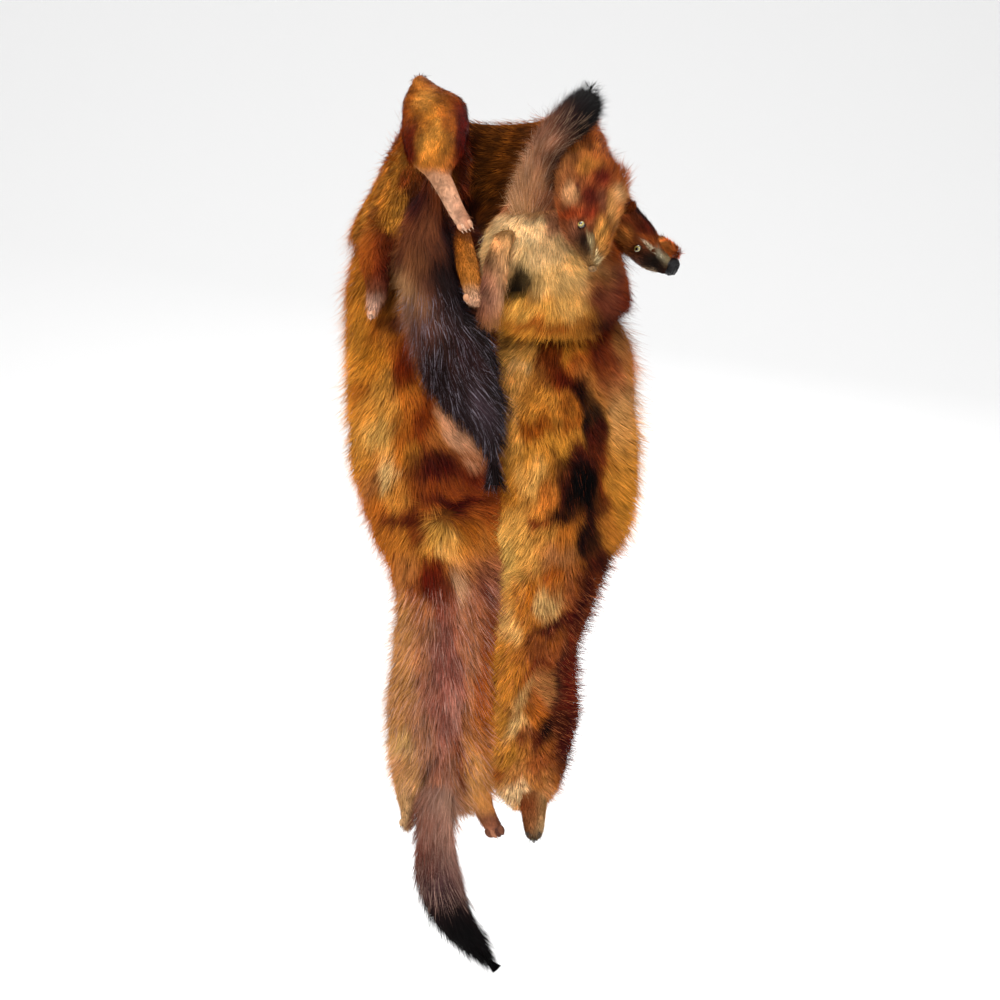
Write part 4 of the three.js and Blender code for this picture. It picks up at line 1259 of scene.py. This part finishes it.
def ball(name, centre, axes, radii, shade, material, rings=24, around=36, form=None):
    """A closed ball of three half sizes: centre + axes times the radii times
    (sin b cos a, sin b sin a, cos b), b from its front pole; form scales each point."""
    b, a = np.meshgrid(np.linspace(0, np.pi, rings + 1)[1:-1],
                       np.arange(around) / around * 2 * np.pi, indexing="ij")
    way = np.stack([np.sin(b) * np.cos(a), np.sin(b) * np.sin(a), np.cos(b)], -1)
    poles = np.array([[0, 0, 1.0], [0, 0, -1.0]])
    points, corners, sizes = closed_grid(way, poles[0], poles[1])
    scale = 1 if form is None else form(points)[:, None]
    placed = centre + (points * scale * np.asarray(radii)) @ np.asarray(axes)
    return mesh_piece(name, placed, corners, sizes, shade(points), material)


def eye_shade(pupil, iris, rim):
    """Eye colour by the angle from its front: pupil, streaked iris with a dark ring, socket."""
    def shade(way):
        """The colour in each direction from the middle of the eye."""
        angle = np.degrees(np.arccos(np.clip(way[:, 2], -1, 1)))
        turn = np.arctan2(way[:, 1], way[:, 0])
        streak = 1 + 0.18 * np.sin(turn * 23) * np.sin(turn * 7 + 1)
        colour = np.where((angle < pupil)[:, None], linear((8, 7, 6)), linear((168, 150, 78)))
        colour = colour * np.where((angle > pupil)[:, None], streak[:, None], 1)
        colour = np.where((angle > iris)[:, None], linear((84, 70, 34)), colour)
        return np.where((angle > rim)[:, None], linear((40, 28, 20)), colour)
    return shade


def centre_of(node):
    """The middle of a CAD solid's box, in mm."""
    low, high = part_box(node)
    return (np.array(low) + np.array(high)) / 2 / MM


def head_axes(rows, share, angle):
    """Sideways, forwards and outwards on a head, at a share of its length and an angle."""
    f = Skin(rows, 2.0).section(np.array([share]))
    across, out, along = unit(f["half"])[0], f["out"][0], f["along"][0]
    turn = np.radians(angle)
    outward = unit(across * np.cos(turn) + out * np.sin(turn))
    side = unit(np.cross(along, outward))
    return np.array([side, unit(np.cross(outward, side)), outward])


def add_ball(node, name, rows, share, angle, radii, sink, shade, material):
    """A ball in the place of one small CAD solid of a head."""
    axes = head_axes(rows, share, angle)
    piece = ball(name, centre_of(node) - axes[2] * sink, axes, radii, shade, material)
    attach(piece, "root")
    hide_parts(node)


def even(colour, spread=0.0):
    """One colour all over, lighter and darker by the spread in fine blotches."""
    return lambda points: np.tile(linear(colour), (len(points), 1)) * (
        1 + spread * wander(points, 0.6, 5))[:, None]


glass = eye_shade(27, 50, 62)
add_ball("head_down_eye", "head_down_eye_bead", HEAD_DOWN, 0.56, 118, (3.3, 3.3, 3.0), 0.6,
         glass, eye_glass)
add_ball("head_side_eye", "head_side_eye_bead", HEAD_SIDE, 0.47, 201, (3.4, 3.0, 3.4), 0.5,
         glass, eye_glass)


def nose_form(nostril_x, nostril_z):
    """A nose pad: wrinkled all over, with a split down its middle and two nostrils."""
    def form(p):
        """How far each point stands out, times the ball's half sizes."""
        wrinkle = 0.05 * wander(p, 0.35, 8) + 0.03 * wander(p, 0.15, 9)
        split = 0.16 * np.exp(-((p[:, 0] / 0.12) ** 2)) * (p[:, 2] > 0)
        holes = 0
        for sign in (-1, 1):
            spot = np.array([sign * nostril_x, nostril_z, 0.75])
            holes = holes + 0.34 * np.exp(-(np.linalg.norm(p - spot, axis=1) / 0.26) ** 2)
        return 1 + wrinkle - split - holes
    return form


def add_nose(node, rows, radii, shade, material, rings, around):
    """A nose pad at the end of a head, in the place of its small CAD solid."""
    side, ahead, out = head_axes(rows, 1.0, 90)
    pad = ball(node + "_pad", centre_of(node), np.array([side, out, ahead]), radii, shade,
               material, rings=rings, around=around, form=nose_form(0.42, 0.1))
    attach(pad, "root")
    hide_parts(node)


add_nose("head_side_nose", HEAD_SIDE, (7.4, 8.0, 6.4), even((18, 16, 17), 0.3), nose_leather,
         36, 48)
add_nose("head_down_nose", HEAD_DOWN, (3.4, 2.6, 2.6), even((124, 94, 62), 0.5), paw_leather,
         30, 40)


def ear(node, rows, share, angle, colours, seed):
    """A folded ear: a short flat tube from its root to its tip, with short fur on it."""
    axes = head_axes(rows, share, angle)
    c = centre_of(node)
    side, ahead, out = axes
    table = []
    for up, wide, thick in ((-5.5, 5.5, 5), (-1, 6.2, 5), (3, 5, 4), (6, 2.4, 3)):
        middle = c + out * up - ahead * up * 0.35
        table.append([*(middle - side * wide), *(middle + side * wide), thick, 0])
    skin_pieces(node, table, 4.5, (0.024, 0.014, 0.0003), [node[:node.index("_ear")]],
                colours, 1200, seed, plump=2.0, inset=1.2, lift=(26, 12), width=0.3,
                clump=2.5, stray=0.1, flare=0.2, locks=0.3)


EAR_BANDS = [
    [20, 90, 120, RUST, RUST, RUST],
    [-20, 90, 120, (90, 36, 20), (80, 32, 18), (50, 22, 14)],
]
ear("head_side_ear", HEAD_SIDE, 0.12, 140, banded(EAR_BANDS, (), 311, 1), 313)


def tubes(name, paths, radii, colours, material, around=10):
    """Many round tubes as one mesh: rings of each radius round each path's points, squared to
    the path, each closed to a pole. paths is tubes by points by 3, radii tubes by points."""
    paths, radii = np.asarray(paths, float), np.asarray(radii, float)
    ahead = unit(np.gradient(paths, axis=1))
    side = unit(np.cross(ahead, np.array([0.3, -1, 0.1])))
    up = np.cross(side, ahead)
    angles = np.arange(around) / around * 2 * np.pi
    ring = (side[:, :, None] * np.cos(angles)[:, None] + up[:, :, None] * np.sin(angles)[:, None])
    grids = paths[:, :, None] + ring * radii[:, :, None, None]
    points, corners, sizes, shades, base = [], [], [], [], 0
    for n, grid in enumerate(grids):
        p, c, z = closed_grid(grid, paths[n, 0] - ahead[n, 0] * radii[n, 0] * 0.5,
                              paths[n, -1] + ahead[n, -1] * radii[n, -1] * 0.6)
        points.append(p)
        corners.append(c + base)
        sizes.append(z)
        shades.append(np.tile(linear(colours[n % len(colours)]), (len(p), 1)))
        base += len(p)
    return mesh_piece(name, np.vstack(points), np.concatenate(corners), np.concatenate(sizes),
                      np.vstack(shades), material)


def paw(name, rows, toes, toe_length, toe_radius, claw_length, toe_colour, claw_colour,
        spread=0.75, back=3.0, curl=0.5, splay=0.25):
    """Toes and claws at the end of a leg, side by side across its last section. A toe
    runs on along the leg and bends down over its end, and a claw tapers out of its tip."""
    f = Skin(rows, 2.0).section(np.array([1.0]))
    middle, half, out, along = (f[k][0] for k in ("middle", "half", "out", "along"))
    width = np.linalg.norm(half)
    across = half / width
    places = np.linspace(-1, 1, toes)
    s = np.linspace(0, 1, 9)
    digits, claws, digit_radii, claw_radii = [], [], [], []
    for q in places:
        way = unit(along + across * splay * q)
        reach = toe_length * (1 - 0.22 * q * q)
        root = middle + across * q * width * spread - along * back
        go = root + way * (s * (reach + back))[:, None]
        go = go + out * (1.6 - 3.2 * curl * s ** 2)[:, None]
        digits.append(go)
        digit_radii.append(toe_radius * (0.9 + 0.35 * np.sin(np.pi * s * 1.1) - 0.25 * s ** 4))
        tip = go[-1] - way * 0.8
        claw = tip + way * (s * claw_length)[:, None]
        claws.append(claw + out * (0.5 - claw_length * 0.45 * s ** 2)[:, None])
        claw_radii.append(toe_radius * 0.42 * (1.02 - s) ** 0.6)
    toe_piece = tubes(name + "_toes", digits, digit_radii, toe_colour, paw_leather, 14)
    claw_piece = tubes(name + "_claws", claws, claw_radii, claw_colour, claw_horn, 8)
    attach(toe_piece, "root")
    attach(claw_piece, "root")


PALE_TOE = [(206, 150, 116), (222, 174, 142), (186, 130, 98)]
FORE_TOE = [(204, 146, 108), (226, 178, 146), (168, 110, 76)]
BROWN_TOE = [(104, 62, 44), (160, 106, 78), (76, 42, 30)]
DARK_TOE = [(60, 50, 42), (98, 90, 72), (52, 42, 36)]
HORN = [(220, 180, 150)]
BLACK_HORN = [(22, 18, 16)]
paw("neck_inner_paw", NECK_LEG_INNER, 4, 3.5, 1.7, 3.2, PALE_TOE, HORN, curl=0.3, splay=0.0,
    spread=0.62)
paw("neck_outer_paw", NECK_LEG_OUTER, 3, 2.0, 1.4, 1.8, PALE_TOE, HORN, splay=0, spread=0.5)
paw("left_fore_paw", LEFT_FORE_LEG, 4, 3.0, 2.5, 2.6, FORE_TOE, HORN, spread=0.8)
paw("left_hind_outer_paw", LEFT_HIND_LEG_OUTER, 4, 2.5, 1.7, 3.0, [(206, 164, 120)], BLACK_HORN)
paw("left_hind_inner_paw", LEFT_HIND_LEG_INNER, 4, 5.0, 2.6, 2.0, BROWN_TOE, BROWN_TOE,
    curl=0.8, splay=-0.1, spread=0.7)
paw("right_hind_paw", RIGHT_HIND_LEG, 4, 4.0, 2.3, 3.0, DARK_TOE, BLACK_HORN, spread=0.62,
    splay=-0.3)

# the ruffled tuft on the side head's crown
TUFT_SHARE, TUFT_ANGLE, TUFT_THICK = 0.8, 84, 9
f = Skin(HEAD_SIDE, 2.0).section(np.array([TUFT_SHARE]))
axes = head_axes(HEAD_SIDE, TUFT_SHARE, TUFT_ANGLE)
turn = np.radians(TUFT_ANGLE)
c = f["middle"] + f["half"] * np.cos(turn) + f["out"] * np.sin(turn) * f["thick"][:, None] / 2
c = c[0] + axes[2]
tuft_rows = [[*(c + axes[1] * go - axes[0] * wide), *(c + axes[1] * go + axes[0] * wide),
              TUFT_THICK, 0] for go, wide in ((-8, 4), (0, 6), (7, 5))]
tuft_colours = banded([[-14, 120, 150, (60, 24, 16), (104, 48, 26), (150, 74, 34)],
                       [-26, 120, 150, (150, 80, 38), (206, 130, 66), (150, 70, 34)],
                       [-36, 120, 150, (172, 92, 42), (190, 104, 48), (150, 60, 26)]], (), 403, 1)
tuft_skin = Skin(tuft_rows, 2.0)
tuft = fur("head_side_tuft", tuft_skin, 6000, 6.5, 401, tuft_colours, hair, width=0.34,
           inset=2.0, lift=(58, 34), pull=0.55, clump=2.6, reverse=True, locks=0.4)
tuft_core = hide("head_side_tuft_skin", tuft_skin, 2.0, dull(tuft_colours, 0.4), under_leather,
                 (8, 16))
for piece in (tuft, tuft_core):
    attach(piece, "root")


def area_light(name, place, aim, size, watts):
    """A soft rectangular light at a place, turned to the point it lights."""
    light = bpy.data.lights.new(name, "AREA")
    light.shape = "RECTANGLE"
    light.size, light.size_y = size
    light.energy = watts
    lamp = bpy.data.objects.new(name, light)
    bpy.context.scene.collection.objects.link(lamp)
    lamp.location = place
    way = np.array(aim, float) - np.array(place, float)
    flat_length = np.hypot(way[0], way[1])
    lamp.rotation_euler = (np.arctan2(flat_length, -way[2]), 0, np.arctan2(-way[0], way[1]))


area_light("key", (-1.1, -2.2, 1.3), (0, -0.15, -0.2), (1.2, 1.2), 50)
area_light("fill", (1.8, -1.8, 0.3), (0, -0.15, -0.25), (1.4, 1.6), 15)
area_light("top", (0.1, -0.2, 1.6), (0, -0.15, -0.2), (1.2, 0.9), 18)
area_light("back", (0.4, 1.2, 0.9), (0, 0, -0.2), (1.0, 1.0), 14)

# a pale floor that turns up into a pale wall far behind
turn = np.linspace(0, np.pi / 2, 37)
depths = np.concatenate([[-4.0], TURN_START + TURN_RADIUS * np.sin(turn),
                         [TURN_START + TURN_RADIUS]])
heights = np.concatenate([[FLOOR_HEIGHT], FLOOR_HEIGHT + TURN_RADIUS * (1 - np.cos(turn)), [5.0]])
sides = np.array([-5.0, 5.0])
floor_points = np.stack(
    [np.tile(sides, len(depths)), np.repeat(depths, 2), np.repeat(heights, 2)], -1
) / MM
n = np.arange(len(depths) - 1) * 2
floor_faces = np.stack([n, n + 1, n + 3, n + 2], -1)
floor_material, _, floor_shader = node_material("pale_floor", 0.9, 0.1)
floor_shader.inputs["Base Color"].default_value = (0.92, 0.92, 0.92, 1)
floor = mesh_piece("floor", floor_points, floor_faces, np.full(len(n), 4), None, floor_material)

world = bpy.data.worlds.new("studio")
world.use_nodes = True
sky = world.node_tree.nodes["Background"]
sky.inputs["Color"].default_value = (1, 1, 1, 1)
sky.inputs["Strength"].default_value = 0.6
bpy.context.scene.world = world
bpy.context.scene.view_settings.view_transform = "Standard"

camera = bpy.data.objects.new("camera", bpy.data.cameras.new("camera"))
bpy.context.scene.collection.objects.link(camera)
camera.location = CAMERA_PLACE
camera.rotation_euler = (np.pi / 2, 0, 0)
camera.data.sensor_width = SENSOR
camera.data.lens = SENSOR * SUBJECT_DISTANCE / PICTURE_WIDTH
camera.data.clip_end = 20
bpy.context.scene.camera = camera
